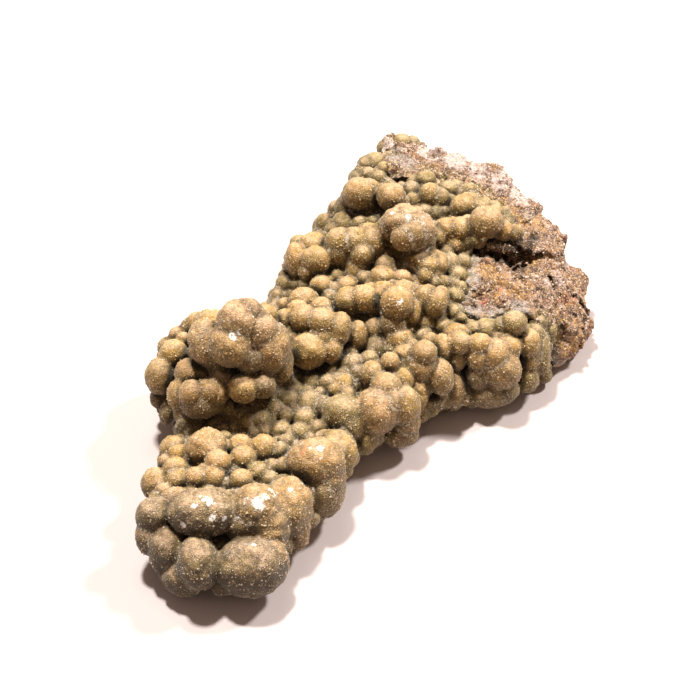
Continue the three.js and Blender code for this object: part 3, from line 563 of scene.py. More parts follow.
def put_colour(mesh, name, rgb):
    a = mesh.color_attributes.new(name, "FLOAT_COLOR", "POINT")
    rgba = np.ones((len(rgb), 4), np.float32)
    rgba[:, :3] = rgb
    a.data.foreach_set("color", rgba.ravel())


def linear(r, g, b):
    out = []
    for v in (r, g, b):
        v /= 255.0
        out.append(v / 12.92 if v <= 0.04045 else ((v + 0.055) / 1.055) ** 2.4)
    return np.array(out)


def triangulated(faces, verts):
    """Splits quads along the shorter diagonal."""
    if faces.shape[1] == 3:
        return faces
    d02 = np.linalg.norm(verts[faces[:, 0]] - verts[faces[:, 2]], axis=1)
    d13 = np.linalg.norm(verts[faces[:, 1]] - verts[faces[:, 3]], axis=1)
    a = np.where((d02 <= d13)[:, None], faces[:, [0, 1, 2]], faces[:, [0, 1, 3]])
    b = np.where((d02 <= d13)[:, None], faces[:, [0, 2, 3]], faces[:, [1, 2, 3]])
    return np.concatenate([a, b])


def clustered(verts, faces, hidden, size):
    """Merges the vertices that nothing shows, on a lattice of the given size; the shell stays closed."""
    key = np.full((len(verts), 4), -1, np.int64)
    key[hidden, :3] = np.floor(verts[hidden] / size)
    key[~hidden, 3] = np.arange((~hidden).sum())
    uniq, inv = np.unique(key, axis=0, return_inverse=True)
    inv = inv.reshape(-1)
    n = np.bincount(inv, minlength=len(uniq))
    out = np.stack([np.bincount(inv, verts[:, i], len(uniq)) / n for i in range(3)], 1)
    f = inv[faces]
    ok = (f[:, 0] != f[:, 1]) & (f[:, 1] != f[:, 2]) & (f[:, 0] != f[:, 2])
    return out, f[ok], inv


# ---------------------------------------------------------------- the rock's field
def outline_distance(x, y, outline):
    """Signed distance to a polygon, negative inside."""
    pts = np.array(outline)
    nxt = np.roll(pts, -1, 0)
    best = np.full(x.shape, 1e9)
    inside = np.zeros(x.shape, bool)
    for (ax, ay), (bx, by) in zip(pts, nxt):
        ex, ey = bx - ax, by - ay
        t = np.clip(((x - ax) * ex + (y - ay) * ey) / (ex * ex + ey * ey), 0, 1)
        best = np.minimum(best, (x - ax - t * ex) ** 2 + (y - ay - t * ey) ** 2)
        cross = (ay > y) != (by > y)
        xx = ax + (y - ay) * ex / (ey if ey else 1e-9)
        inside ^= cross & (x < xx)
    d = np.sqrt(best)
    return np.where(inside, -d, d)


def plate_distance(d2, z, top, bevel):
    dz = np.abs(z - top / 2) - top / 2
    return np.maximum(np.maximum(d2, dz), (d2 + dz + bevel) * 0.7071)


LOW = np.array([-53.5, -32.0, -1.0])
HIGH = np.array([53.5, 32.5, 27.0])


def rock_grid(h):
    g = Grid(LOW, (HIGH[0], HIGH[1], 16.5), h)
    x, y = np.meshgrid(g.ax[0], g.ax[1], indexing="ij")
    ds = outline_distance(x, y, SLAB_OUTLINE)[..., None]
    db = outline_distance(x, y, BLOCK_OUTLINE)[..., None]
    z = g.ax[2][None, None, :]
    g.f = smin(plate_distance(ds, z, SLAB_TOP, SLAB_BEVEL), plate_distance(db, z, BLOCK_TOP, BLOCK_BEVEL), 0.8).astype(np.float32)
    for hx, hy, hz, a, b, c in ROCK_HUMPS:
        g.add(Ball((hx, hy, hz), (a, b, c)), 0.7)
    xyz = (g.ax[0][:, None, None], g.ax[1][None, :, None], z)
    for at, n in BROKEN_FACES:
        n = np.array(n) / np.linalg.norm(n)
        d = sum((xyz[i] - at[i]) * n[i] for i in range(3))
        g.f = -smin(-g.f, -d, 0.6).astype(np.float32)
    for hx, hy, hz, a, b, c in ROCK_HOLLOWS:
        ball = Ball((hx, hy, hz), (a, b, c))
        w = g.window(ball.c - 6, ball.c + 6)
        d = ball.distance(g.points(w)).reshape(g.f[w].shape)
        g.f[w] = -smin(-g.f[w], d, 0.4)
    return g


def roughen_rock(g):
    """Broken-rock relief: fracture faces and steps, lumps and pits, only near the surface."""
    band = np.argwhere(np.abs(g.f) < 2.4)
    p = g.lo + g.h * band
    warp = np.stack([fbm(p, 0.21, 2, seed=40 + i) for i in range(3)], 1)
    q = p + 1.1 * warp
    # tilted fracture faces: each cell is cut by its own plane
    d1, d2, who = cells(q, 0.17, seed=3)
    local = (q * 0.17 + 3 * 5.73) % 1.0 - 0.5
    rel = 0.9 * (local * _GRAD[(who * 7 + 3) % 256]).sum(1) + 0.32 * _GRAD[who][:, 0]
    rel *= step(0.0, 0.10, d2 - d1)
    e1, e2, ewho = cells(q, 0.44, seed=9)
    local = (q * 0.44 + 9 * 5.73) % 1.0 - 0.5
    rel += (0.6 * (local * _GRAD[(ewho * 5 + 1) % 256]).sum(1) + 0.38 * _GRAD[ewho][:, 1]) * step(0.0, 0.12, e2 - e1)
    rough = step(-0.25, 0.35, fbm(p, 0.13, 2, seed=55))
    rel += (0.18 + 0.30 * rough) * fbm(q, 0.6, 3, 0.6, seed=5)
    g1, g2, _ = cells(p, 1.2, seed=14)
    rel += (0.05 + 0.22 * rough) * (0.5 - g1)
    pits, _, _ = cells(q * (1, 1, 1.3), 0.42, seed=21)
    rel -= 0.9 * rough * step(0.34, 0.12, pits)
    g.f[band[:, 0], band[:, 1], band[:, 2]] -= rel
    # a thin spur on the far rim is broken off
    spur = Ball((45.7, -10.3, 10.7), (2.4, 2.4, 1.9))
    w = g.window(spur.c - 4, spur.c + 4)
    g.f[w] = np.maximum(g.f[w], -spur.distance(g.points(w)).reshape(g.f[w].shape))
    z = g.ax[2][None, None, :]
    g.f = np.maximum(g.f, -z).astype(np.float32)


ROCK_BASE = rock_grid(0.5)
ROCK = rock_grid(0.33)
roughen_rock(ROCK)

# ---------------------------------------------------------------- the crust's field
GROWN = 1.07           # lobes press into their neighbours
lobes = [Ball((x, y, z), (a * GROWN, b * GROWN, c * GROWN), turned(t), tone) for x, y, z, a, b, c, t, tone in LOBES]


def smax(a, b, k):
    return -smin(-a, -b, k)


LC = np.array([b.c for b in lobes])
LR = np.array([b.r for b in lobes])
LM = np.array([b.m for b in lobes])


def body_grid(h):
    """The mass of the crust under the lobes: a low blanket that follows their middles."""
    g = Grid(LOW, HIGH, h)
    x, y = np.meshgrid(g.ax[0], g.ax[1], indexing="ij")
    top = np.zeros(x.shape)
    weight = np.full(x.shape, 1e-12)
    gap = np.full(x.shape, 9.0)
    for c, r in zip(LC, LR):
        rm = float(r.mean())
        d2 = (x - c[0]) ** 2 + (y - c[1]) ** 2
        w = np.exp(-d2 / (2 * min(max(0.55 * rm, 0.9), 2.0) ** 2)) + 1e-6 / (1 + d2)
        top += w * np.exp(-(c[2] - 0.16 * rm) / 1.7)
        weight += w
        gap = np.minimum(gap, np.sqrt(d2) - rm)
    top = -1.7 * np.log(top / weight)       # leans to the lower ones, so that tall clusters overhang
    gx_, gy_ = np.gradient(top, h)
    tilt = np.sqrt(1 + gx_ ** 2 + gy_ ** 2)
    foot = np.maximum(outline_distance(x, y, SLAB_OUTLINE) - 1.9, gap - 1.8)
    z = g.ax[2][None, None, :]
    d = (z - top[..., None]) / tilt[..., None]
    d = smax(d, foot[..., None] + 0.85 * np.maximum(0, 4.0 - z), 1.4)
    g.f = np.maximum(d, 0.5 - z).astype(np.float32)
    # no crust over the bare end of the rock
    near = np.argwhere(g.f < 1.5)
    cut = -bare_distance(g.lo + g.h * near)
    i, j, k = near.T
    g.f[i, j, k] = smax(g.f[i, j, k], cut, 0.8)
    return g


def in_view(p):
    """Where points lie across the view, in mm at the middle of the specimen."""
    v = p - np.array(EYE)
    depth = v @ GROW[2]
    return VIEW_REACH * (v @ GROW[0]) / depth, VIEW_REACH * (v @ GROW[1]) / depth


def bare_distance(p):
    """Distance from the part of the rock that stays bare, less than 0 inside it."""
    a, b = in_view(p)
    return outline_distance(a, b, BARE_ZONE)


def covers_a_lobe(c, r):
    """True where a small bead would stand in front of the lobes as they show from the front."""
    eye = np.array(EYE)
    ring = [c] + [c + 0.75 * r * (math.cos(k * math.pi / 4) * GROW[0] + math.sin(k * math.pi / 4) * GROW[1]) for k in range(8)]
    bad = 0
    for i, s in enumerate(ring):
        v = s - eye
        dist = np.linalg.norm(v)
        v /= dist
        front = dist - (r if i == 0 else 0.66 * r)
        d = np.einsum("nij,j->ni", LM, v) / LR
        o = np.einsum("nij,nj->ni", LM, eye - LC) / LR
        qa, qb, qc = (d * d).sum(1), (d * o).sum(1), (o * o).sum(1) - 1
        disc = qb * qb - qa * qc
        hit = disc > 0
        if not hit.any():
            continue
        t = ((-qb[hit] - np.sqrt(disc[hit])) / qa[hit]).min()
        bad += t > front - 0.1
    return bad >= 2


def beads():
    """Small beads over every part of the blanket that no lobe covers, as on the real crust."""
    both = body_grid(0.7)
    lob = Grid(LOW, HIGH, 0.7)
    for b in lobes:
        lob.add(b, 0.2, 3.0)
    both.f = np.minimum(both.f, lob.f)
    v, f = surface(both)
    n = vertex_normals(v, f)
    ok = (lob.sample(v) > 0.05) & (ROCK_BASE.sample(v) > 0.1) & (n[:, 2] > -0.8) & (v[:, 2] > 0.8) & (bare_distance(v) > 0.3)
    v, n = v[ok], n[ok]
    rng = np.random.default_rng(5)
    order = rng.permutation(len(v))
    kept, radii = np.zeros((0, 3)), np.zeros(0)
    out = []
    for i in order:
        r = 0.85 + 1.15 * rng.random() ** 1.5
        if len(kept) and (np.linalg.norm(kept - v[i], axis=1) < 0.76 * (r + radii)).any():
            continue
        c = v[i] - n[i] * 0.52 * r
        c[2] = max(c[2], r + 0.15)
        for _ in range(3):
            if not covers_a_lobe(c, r):
                break
            r *= 0.8
            c = v[i] - n[i] * 0.60 * r
        else:
            continue
        kept = np.vstack([kept, v[i]])
        radii = np.append(radii, r)
        apart = np.linalg.norm(LC - c, axis=1) - LR.mean(1)
        near = lobes[int(np.argmin(apart))]
        # beads that sit low beside their lobe mostly take the dark tone, the rest olive: painted shade under the lobes
        low = c[2] < near.c[2] - 0.6 * near.reach
        tone = "D" if low and rng.random() < 0.6 else ("O" if low or rng.random() < 0.3 else near.tone)
        out.append(Ball(c, (r, r * (0.9 + 0.2 * rng.random()), r * 0.95), LEVEL, tone))
    return out


small = beads()
print("lobes", len(lobes), "beads", len(small))

CRUST = body_grid(0.39)
for ball in small:
    CRUST.add(ball, 0.10)
for ball in lobes:
    CRUST.add(ball, 0.10)
z0 = CRUST.ax[2][None, None, :]
CRUST.f = np.maximum(CRUST.f, 0.12 - z0).astype(np.float32)


def near_two(p, balls):
    """For each point the two nearest balls: distances, numbers, and the nearest one's outward direction."""
    order = np.argsort(p[:, 0])
    x = p[order, 0]
    q = p[order]
    d1 = np.full(len(p), 9.0)
    d2 = np.full(len(p), 9.0)
    w1 = np.full(len(p), -1)
    w2 = np.full(len(p), -1)
    n1 = np.zeros((len(p), 3))
    for k, ball in enumerate(balls):
        m = ball.reach + 1.0
        a, b = np.searchsorted(x, (ball.c[0] - m, ball.c[0] + m))
        if a == b:
            continue
        sub = q[a:b]
        near = (np.abs(sub[:, 1] - ball.c[1]) < m) & (np.abs(sub[:, 2] - ball.c[2]) < m)
        idx = a + np.flatnonzero(near)
        if not len(idx):
            continue
        d, n = ball.distance(q[idx], True)
        first = d < d1[idx]
        second = ~first & (d < d2[idx])
        i1 = idx[first]
        d2[i1], w2[i1] = d1[i1], w1[i1]
        d1[i1], w1[i1], n1[i1] = d[first], k, n[first]
        i2 = idx[second]
        d2[i2], w2[i2] = d[second], k
    back = np.empty(len(p), int)
    back[order] = np.arange(len(p))
    return d1[back], d2[back], w1[back], w2[back], n1[back]


# D is a dark olive that also serves as painted shade for what sits low between the lobes
TONES = {
    "T": linear(182, 138, 72), "G": linear(182, 138, 50), "O": linear(136, 115, 44),
    "B": linear(116, 94, 62), "P": linear(188, 146, 98), "D": linear(92, 81, 32),
}


def occlusion(p, n, fields, reaches=(0.6, 1.3, 2.6, 5.0)):
    """How shut in a point is, 0 open to 1 closed, from the distance fields."""
    out = np.zeros(len(p))
    for t in reaches:
        q = p + n * t
        d = np.minimum.reduce([f.sample(q) for f in fields])
        out += np.clip(1 - d / t, 0, 1.2)
    return np.clip(out / len(reaches), 0, 1)


def build_crust():
    v, q = surface(CRUST)
    v, q = largest_shell(v, q)
    balls = lobes + small
    for _ in range(2):
        d1, d2, w1, w2, n1 = near_two(v, balls)
        ok = d1 < 0.3
        shift = np.where(ok, smin(d1, d2, 0.10), 0)
        lift = np.clip(shift, -0.2, 0.2)
        v = v - n1 * lift[:, None]
        v[:, 2] = np.maximum(v[:, 2], 0.12)
    d1, d2, w1, w2, n1 = near_two(v, balls)
    n = vertex_normals(v, q)
    edge = np.clip((d2 - d1) / 0.6, 0, 1)
    # each lobe is itself a cluster of low round caps that meet in sharp seams
    size = np.array([b.reach for b in balls])[np.maximum(w1, 0)]
    warp = 0.30 * np.stack([noise(v, 0.5, seed=70 + i) for i in range(3)], 1)
    a1, a2, _ = cells(v + warp, 0.36, seed=31)
    b1, b2, _ = cells(v + warp, 0.66, seed=33)
    sub = np.clip((size - 2.2) / 1.6, 0, 1)
    part = np.clip((size - 1.0) / 1.2, 0.25, 1)
    big = 0.28 - (2.6 - np.sqrt(2.6 ** 2 - np.minimum(a1 / 0.36, 1.9) ** 2))
    low = 0.12 - (1.4 - np.sqrt(1.4 ** 2 - np.minimum(b1 / 0.66, 1.0) ** 2))
    lump = 0.38 * big * sub + 0.26 * low * part
    # slow unevenness
    lump = lump + 0.06 * fbm(v, 0.45, 2, seed=8)
    v = v + n * (lump * edge)[:, None]
    seam = np.maximum(step(0.14, 0.0, a2 - a1) * sub, 0.6 * step(0.14, 0.0, b2 - b1) * part)
    v[:, 2] = np.maximum(v[:, 2], 0.1)
    tri = triangulated(q, v)
    under = (n[:, 2] < -0.35) & (v[:, 2] < 3.0)
    hidden = (ROCK_BASE.sample(v) < -1.4) | (under & (v[:, 2] < 1.2) & (n[:, 2] < -0.7))
    v, tri, inv = clustered(v, tri, hidden, 2.4)
    seam = np.bincount(inv, seam, len(v)) / np.bincount(inv, minlength=len(v))
    d1, d2, w1, w2, n1 = near_two(v, balls)
    n = vertex_normals(v, tri)
    tone = np.array([TONES[b.tone] for b in balls])
    rng = np.random.default_rng(3)
    vary = 1 + 0.09 * rng.normal(size=(len(balls), 1)) + 0.02 * rng.normal(size=(len(balls), 3))
    tone = np.clip(tone * vary, 0, 1)
    share = 0.5 - 0.5 * np.clip((d2 - d1) / 0.9, 0, 1)
    share = np.where(w2 < 0, 0, share)
    colour = tone[np.maximum(w1, 0)] * (1 - share[:, None]) + tone[np.maximum(w2, 0)] * share[:, None]
    # painted shade: the blanket that shows between and below the lobes takes the dark tone
    bare = step(0.25, 0.8, d1)
    colour = colour * (1 - bare[:, None]) + TONES["D"] * bare[:, None]
    # painted shade: the faces of the big lobes at the front end that turn away from up are painted darker than their
    # tops
    front_face_shade = step(-31.0, -40.0, v[:, 0]) * step(0.75, 0.15, n[:, 2])
    shut = occlusion(v, n, [CRUST])
    wide = occlusion(v, np.tile([0, 0, 1.0], (len(v), 1)), [CRUST], (2.0, 4.0, 7.0))
    crease = (1 - np.clip((d2 - d1) / 0.95, 0, 1)) ** 1.4
    white = np.zeros(len(v))
    wob = fbm(v, 0.9, 3, seed=30)
    for x, y, z, r in WHITE_SPOTS:
        d = np.linalg.norm(v - (x, y, z), axis=1) / r
        white = np.maximum(white, step(1.15, 0.55, d + 0.55 * wob))
    orange = np.zeros(len(v))
    for x, y, z, r in ORANGE_SPECKS:
        d = np.linalg.norm(v - (x, y, z), axis=1) / r
        orange = np.maximum(orange, step(1.1, 0.6, d + 0.4 * wob))
    ob = make_mesh("crust", v, tri)
    put_colour(ob.data, "tone", colour)
    put_float(ob.data, "shut", shut)
    put_float(ob.data, "wide", wide)
    put_float(ob.data, "crease", np.maximum(crease, 0.75 * seam))
    put_float(ob.data, "up", n[:, 2])
    put_float(ob.data, "white", white)
    put_float(ob.data, "front_face_shade", front_face_shade)
    put_float(ob.data, "orange", orange)
    print("crust", len(v), "vertices", len(tri), "triangles")
    return ob, dict(v=v, f=tri, n=n, colour=colour, shut=shut, white=white, crease=crease)


def build_rock():
    v, q = surface(ROCK)
    v, q = largest_shell(v, q)
    n = vertex_normals(v, q)
    v = v + n * (0.10 * fbm(v, 1.7, 2, seed=50) * (v[:, 2] > 0.3))[:, None]
    v[:, 2] = np.maximum(v[:, 2], 0.0)
    low = v[:, 2] < 0.05
    v[low, 2] = 0.0
    tri = triangulated(q, v)
    rim = outline_distance(v[:, 0], v[:, 1], SLAB_OUTLINE)
    hidden = (CRUST.sample(v) < -1.0) | (low & (rim < -3.0))
    v, tri, inv = clustered(v, tri, hidden, 2.2)
    n = vertex_normals(v, tri)
    shut = occlusion(v, n, [ROCK, CRUST], (0.5, 1.2, 2.4, 4.5))
    wob = fbm(v, 0.55, 3, seed=60)
    fine = fbm(v, 1.6, 2, seed=66)
    ob = make_mesh("rock", v, tri)
    put_float(ob.data, "shut", shut)
    out = dict(v=v, f=tri, n=n, shut=shut)
    for name, spots in (("rust", ROCK_RUST), ("ochre", ROCK_OCHRE), ("white", ROCK_PALE_AND_RIM_HIGHLIGHT), ("dark", ROCK_DARK), ("grey", ROCK_GREY)):
        m = np.zeros(len(v))
        for x, y, z, r in spots:
            off = v - (x, y, z)
            deep = off @ GROW[2]
            d = np.sqrt(np.maximum((off ** 2).sum(1) - 0.93 * deep ** 2, 0)) / r
            m = np.maximum(m, step(1.35, 0.55, d + 0.45 * wob + 0.30 * fine))
        put_float(ob.data, name, m)
        out[name] = m
    # a green film where the rock meets the crust
    touch = step(1.6, 0.2, CRUST.sample(v) + 0.6 * wob)
    put_float(ob.data, "film", touch)
    print("rock", len(v), "vertices", len(tri), "triangles")
    return ob, out


crust, C = build_crust()
rock, K = build_rock()


# ---------------------------------------------------------------- sugary grains
OCTA_V = np.array([(1, 0, 0), (-1, 0, 0), (0, 1, 0), (0, -1, 0), (0, 0, 1), (0, 0, -1)], float)
OCTA_F = np.array([(0, 2, 4), (2, 1, 4), (1, 3, 4), (3, 0, 4), (2, 0, 5), (1, 2, 5), (3, 1, 5), (0, 3, 5)])
TETRA_V = np.array([(1, 1, 1), (1, -1, -1), (-1, 1, -1), (-1, -1, 1)], float) / 1.35
TETRA_F = np.array([(0, 1, 2), (0, 3, 1), (0, 2, 3), (1, 3, 2)])


def random_turns(n, rng):
    q = rng.normal(size=(n, 4))
    q /= np.linalg.norm(q, axis=1, keepdims=True)
    w, x, y, z = q.T
    return np.stack([
        np.stack([1 - 2 * (y * y + z * z), 2 * (x * y - z * w), 2 * (x * z + y * w)], 1),
        np.stack([2 * (x * y + z * w), 1 - 2 * (x * x + z * z), 2 * (y * z - x * w)], 1),
        np.stack([2 * (x * z - y * w), 2 * (y * z + x * w), 1 - 2 * (x * x + y * y)], 1)], 1)


def scatter(D, weight, count, rng):
    """Points on a mesh, by area and a weight per vertex: place, direction, and where they came from."""
    v, f = D["v"], D["f"]
    a, b, c = v[f[:, 0]], v[f[:, 1]], v[f[:, 2]]
    area = 0.5 * np.linalg.norm(np.cross(b - a, c - a), axis=1)
    w = area * weight[f].mean(1)
    pick = rng.choice(len(f), count, p=w / w.sum())
    r1, r2 = np.sqrt(rng.random(count)), rng.random(count)
    bary = np.stack([1 - r1, r1 * (1 - r2), r1 * r2], 1)
    tri = f[pick]
    p = (v[tri] * bary[..., None]).sum(1)
    n = (D["n"][tri] * bary[..., None]).sum(1)
    n /= np.linalg.norm(n, axis=1, keepdims=True) + 1e-9
    return p, n, tri, bary


def grains(name, D, weight, count, size, seed, shape=(OCTA_V, OCTA_F), tint=None, sink=0.35):
    rng = np.random.default_rng(seed)
    p, n, tri, bary = scatter(D, weight, count, rng)
    s = size[0] + (size[1] - size[0]) * rng.random(count) ** 2.2
    turn = random_turns(count, rng)
    stretch = 0.75 + 0.5 * rng.random((count, 3))
    base, faces = shape
    pts = (base[None] * stretch[:, None, :]) @ turn
    pts = pts * s[:, None, None] + (p - n * (s * sink)[:, None])[:, None, :]
    pts[..., 2] = np.maximum(pts[..., 2], 0.01)
    allf = (faces[None] + (np.arange(count) * len(base))[:, None, None]).reshape(-1, 3)
    ob = make_mesh(name, pts.reshape(-1, 3), allf, smooth=False)
    lum = np.repeat(rng.random(count), len(base))
    put_float(ob.data, "pick", lum)
    if tint is not None:
        col = (tint[tri] * bary[..., None]).sum(1)
        put_colour(ob.data, "tone", np.repeat(col, len(base), 0))
    print(name, count, "grains", len(allf), "triangles")
    return ob

# ---------------------------------------------------------------- materials
class Nodes:
    """A small writer of shader node trees; lengths in the textures are millimetres."""

    def __init__(self, name):
        self.mat = bpy.data.materials.new(name)
        self.mat.use_nodes = True
        self.t = self.mat.node_tree
        self.t.nodes.clear()
        self.out = self.t.nodes.new("ShaderNodeOutputMaterial")
        self.bsdf = self.t.nodes.new("ShaderNodeBsdfPrincipled")
        self.t.links.new(self.bsdf.outputs[0], self.out.inputs[0])
        tc = self.t.nodes.new("ShaderNodeTexCoord")
        mp = self.t.nodes.new("ShaderNodeMapping")
        mp.inputs["Scale"].default_value = (1000, 1000, 1000)
        self.t.links.new(tc.outputs["Object"], mp.inputs["Vector"])
        self.mm = mp.outputs[0]

    def link(self, a, b):
        self.t.links.new(a, b)

    def put(self, node, socket, value):
        s = node.inputs[socket]
        if hasattr(value, "is_output"):
            self.link(value, s)
        else:
            s.default_value = value

    def attr(self, name, colour=False):
        n = self.t.nodes.new("ShaderNodeAttribute")
        n.attribute_name = name
        return n.outputs["Color"] if colour else n.outputs["Fac"]

    def noise(self, scale, detail=3.0, rough=0.55, vec=None, distort=0.0):
        n = self.t.nodes.new("ShaderNodeTexNoise")
        n.inputs["Scale"].default_value = scale
        n.inputs["Detail"].default_value = detail
        n.inputs["Roughness"].default_value = rough
        n.inputs["Distortion"].default_value = distort
        self.link(vec or self.mm, n.inputs["Vector"])
        return n.outputs["Fac"]

    def voronoi(self, scale, feature="F1", out="Distance", randomness=1.0):
        n = self.t.nodes.new("ShaderNodeTexVoronoi")
        n.feature = feature
        n.inputs["Scale"].default_value = scale
        n.inputs["Randomness"].default_value = randomness
        self.link(self.mm, n.inputs["Vector"])
        return n.outputs[out]

    def math(self, op, a, b=0.0, c=0.0, clamp=False):
        n = self.t.nodes.new("ShaderNodeMath")
        n.operation = op
        n.use_clamp = clamp
        for i, v in enumerate((a, b, c)):
            if i < len(n.inputs):
                self.put(n, i, v)
        return n.outputs[0]

    def ramp(self, value, a, b, lo=0.0, hi=1.0, smooth=True):
        n = self.t.nodes.new("ShaderNodeMapRange")
        n.interpolation_type = "SMOOTHSTEP" if smooth else "LINEAR"
        self.put(n, 0, value)
        for i, v in enumerate((a, b, lo, hi)):
            n.inputs[i + 1].default_value = v
        return n.outputs[0]

    def mix(self, fac, a, b, blend="MIX"):
        n = self.t.nodes.new("ShaderNodeMix")
        n.data_type = "RGBA"
        n.blend_type = blend
        self.put(n, 0, fac)
        for k, v in ((6, a), (7, b)):
            if hasattr(v, "is_output"):
                self.link(v, n.inputs[k])
            else:
                n.inputs[k].default_value = (*v, 1.0)
        return n.outputs[2]

    def grey(self, value):
        n = self.t.nodes.new("ShaderNodeCombineColor")
        for i in range(3):
            self.put(n, i, value)
        return n.outputs[0]

    def bump(self, height, distance, strength=1.0, normal=None):
        n = self.t.nodes.new("ShaderNodeBump")
        n.inputs["Distance"].default_value = distance
        n.inputs["Strength"].default_value = strength
        self.link(height, n.inputs["Height"])
        if normal is not None:
            self.link(normal, n.inputs["Normal"])
        return n.outputs[0]

    def finish(self, colour, rough, normal, specular=0.4, sheen=0.0, sheen_rough=0.5, sheen_tint=(1, 1, 1)):
        b = self.bsdf
        self.link(colour, b.inputs["Base Color"])
        self.put(b, "Roughness", rough)
        if normal is not None:
            self.link(normal, b.inputs["Normal"])
        b.inputs["Specular IOR Level"].default_value = specular
        b.inputs["Sheen Weight"].default_value = sheen
        b.inputs["Sheen Roughness"].default_value = sheen_rough
        b.inputs["Sheen Tint"].default_value = (*sheen_tint, 1.0)
        return self.mat


def crust_material():
    m = Nodes("mottramite crust")
    tone = m.attr("tone", True)
    shut, crease = m.attr("shut"), m.attr("crease")
    # tone drifts at the scale of a lobe: greener in places; a pale bloom on what faces up is partly dusting and partly
    # a painted highlight on the tops
    drift = m.noise(0.22, 2.0)
    tone = m.mix(m.ramp(drift, 0.42, 0.66, 0.0, 0.55), tone, tuple(linear(142, 121, 56)))
    dust_and_top_light = m.math("MULTIPLY", m.ramp(m.attr("up"), 0.55, 1.0), m.ramp(m.noise(0.5, 3.0), 0.30, 0.60))
    tone = m.mix(m.math("MULTIPLY", dust_and_top_light, 0.62), tone, tuple(linear(226, 188, 150)))
    fleck = m.noise(1.3, 5.0, 0.7)
    tone = m.mix(m.ramp(fleck, 0.50, 0.68, 0.0, 0.45), tone, tuple(linear(120, 98, 44)))
    # painted shade: what faces down, and further on the hollows, is painted olive, then almost black
    painted_side_shade = m.ramp(m.attr("up"), 0.93, 0.30)
    tone = m.mix(m.math("MULTIPLY", painted_side_shade, 0.62), tone, tuple(linear(114, 90, 36)))
    painted_under_shade = m.ramp(m.attr("up"), 0.30, -0.4)
    tone = m.mix(m.math("MULTIPLY", painted_under_shade, 0.60), tone, tuple(linear(70, 57, 25)))
    # sugary salt-and-pepper at the scale of the grains
    salt = m.noise(3.2, 3.0, 0.65)
    tone = m.mix(m.ramp(salt, 0.50, 0.66, 0.0, 0.40), tone, tuple(linear(216, 186, 142)))
    tone = m.mix(m.ramp(salt, 0.46, 0.32, 0.0, 0.40), tone, tuple(linear(78, 60, 28)))
    # painted shade in the hollows, from how shut in each point is: olive, then almost black
    painted_hollow_shade = m.ramp(shut, 0.26, 0.66)
    tone = m.mix(m.math("MULTIPLY", painted_hollow_shade, 0.70), tone, tuple(linear(98, 80, 32)))
    deep = m.ramp(shut, 0.60, 0.90)
    tone = m.mix(m.math("MULTIPLY", deep, 0.85), tone, tuple(linear(34, 25, 10)))
    # painted shade along the seams between lobes and between their caps
    seam = m.math("MULTIPLY", crease, m.ramp(m.noise(1.1, 3.0), 0.35, 0.6, 0.55, 0.95))
    tone = m.mix(seam, tone, tuple(linear(58, 47, 20)))
    # here and there a seam holds a pale vein
    vein = m.math("MULTIPLY", m.ramp(crease, 0.45, 0.9), m.ramp(m.noise(0.28, 2.0, 0.5, None, 0.3), 0.52, 0.60))
    vein = m.math("MULTIPLY", vein, m.ramp(m.noise(2.2, 3.0), 0.42, 0.55))
    tone = m.mix(m.math("MULTIPLY", vein, 0.75), tone, tuple(linear(206, 190, 166)))
    # pale sugary grains
    cell = m.voronoi(4.0)
    grain = m.ramp(cell, 0.44, 0.14)
    pick = m.ramp(m.noise(1.9, 2.0), 0.44, 0.60)
    sugar = m.math("MULTIPLY", grain, pick)
    sugar = m.math("MULTIPLY", sugar, m.ramp(shut, 0.66, 0.30))
    tone = m.mix(m.math("MULTIPLY", sugar, 0.65), tone, tuple(linear(232, 214, 184)))
    pit = m.ramp(m.noise(4.6, 3.0, 0.7), 0.34, 0.50, 1.0, 0.0)
    tone = m.mix(m.math("MULTIPLY", pit, 0.35), tone, tuple(linear(84, 66, 30)))
    # painted shade on the front faces of the big lobes at the front end
    tone = m.mix(m.math("MULTIPLY", m.attr("front_face_shade"), 0.85), tone, tuple(linear(54, 44, 29)))
    # chalky white patches and orange specks
    white = m.math("MULTIPLY", m.ramp(m.attr("white"), 0.25, 0.75), m.ramp(m.noise(0.62, 5.0, 0.72), 0.45, 0.51))
    tone = m.mix(m.math("MULTIPLY", white, 0.95), tone, tuple(linear(244, 240, 234)))
    orange = m.math("MULTIPLY", m.attr("orange"), m.ramp(m.noise(4.0, 2.0), 0.38, 0.5))
    tone = m.mix(m.math("MULTIPLY", orange, 0.7), tone, tuple(linear(222, 128, 54)))
    rough = m.ramp(m.noise(3.0, 3.0), 0.3, 0.7, 0.42, 0.72)
    h = m.math("ADD", m.math("MULTIPLY", m.ramp(cell, 0.6, 0.05), 0.7), m.math("MULTIPLY", m.noise(6.0, 3.0, 0.7), 0.9))
    normal = m.bump(h, 0.00013, 1.0)
    return m.finish(tone, rough, normal, 0.45, 0.25, 0.40, (1.0, 0.94, 0.84))


def grain_material(name, pale, mixin, rough):
    m = Nodes(name)
    tone = m.attr("tone", True)
    pick = m.attr("pick")
    c = m.mix(m.ramp(pick, 0.2, 1.0, 0.15, mixin), tone, pale)
    c = m.mix(m.ramp(m.noise(6.0, 2.0), 0.4, 0.7, 0.0, 0.25), c, tuple(linear(120, 98, 60)))
    normal = m.bump(m.noise(14.0, 2.0), 0.00003, 0.5)
    return m.finish(c, rough, normal, 0.5, 0.1)


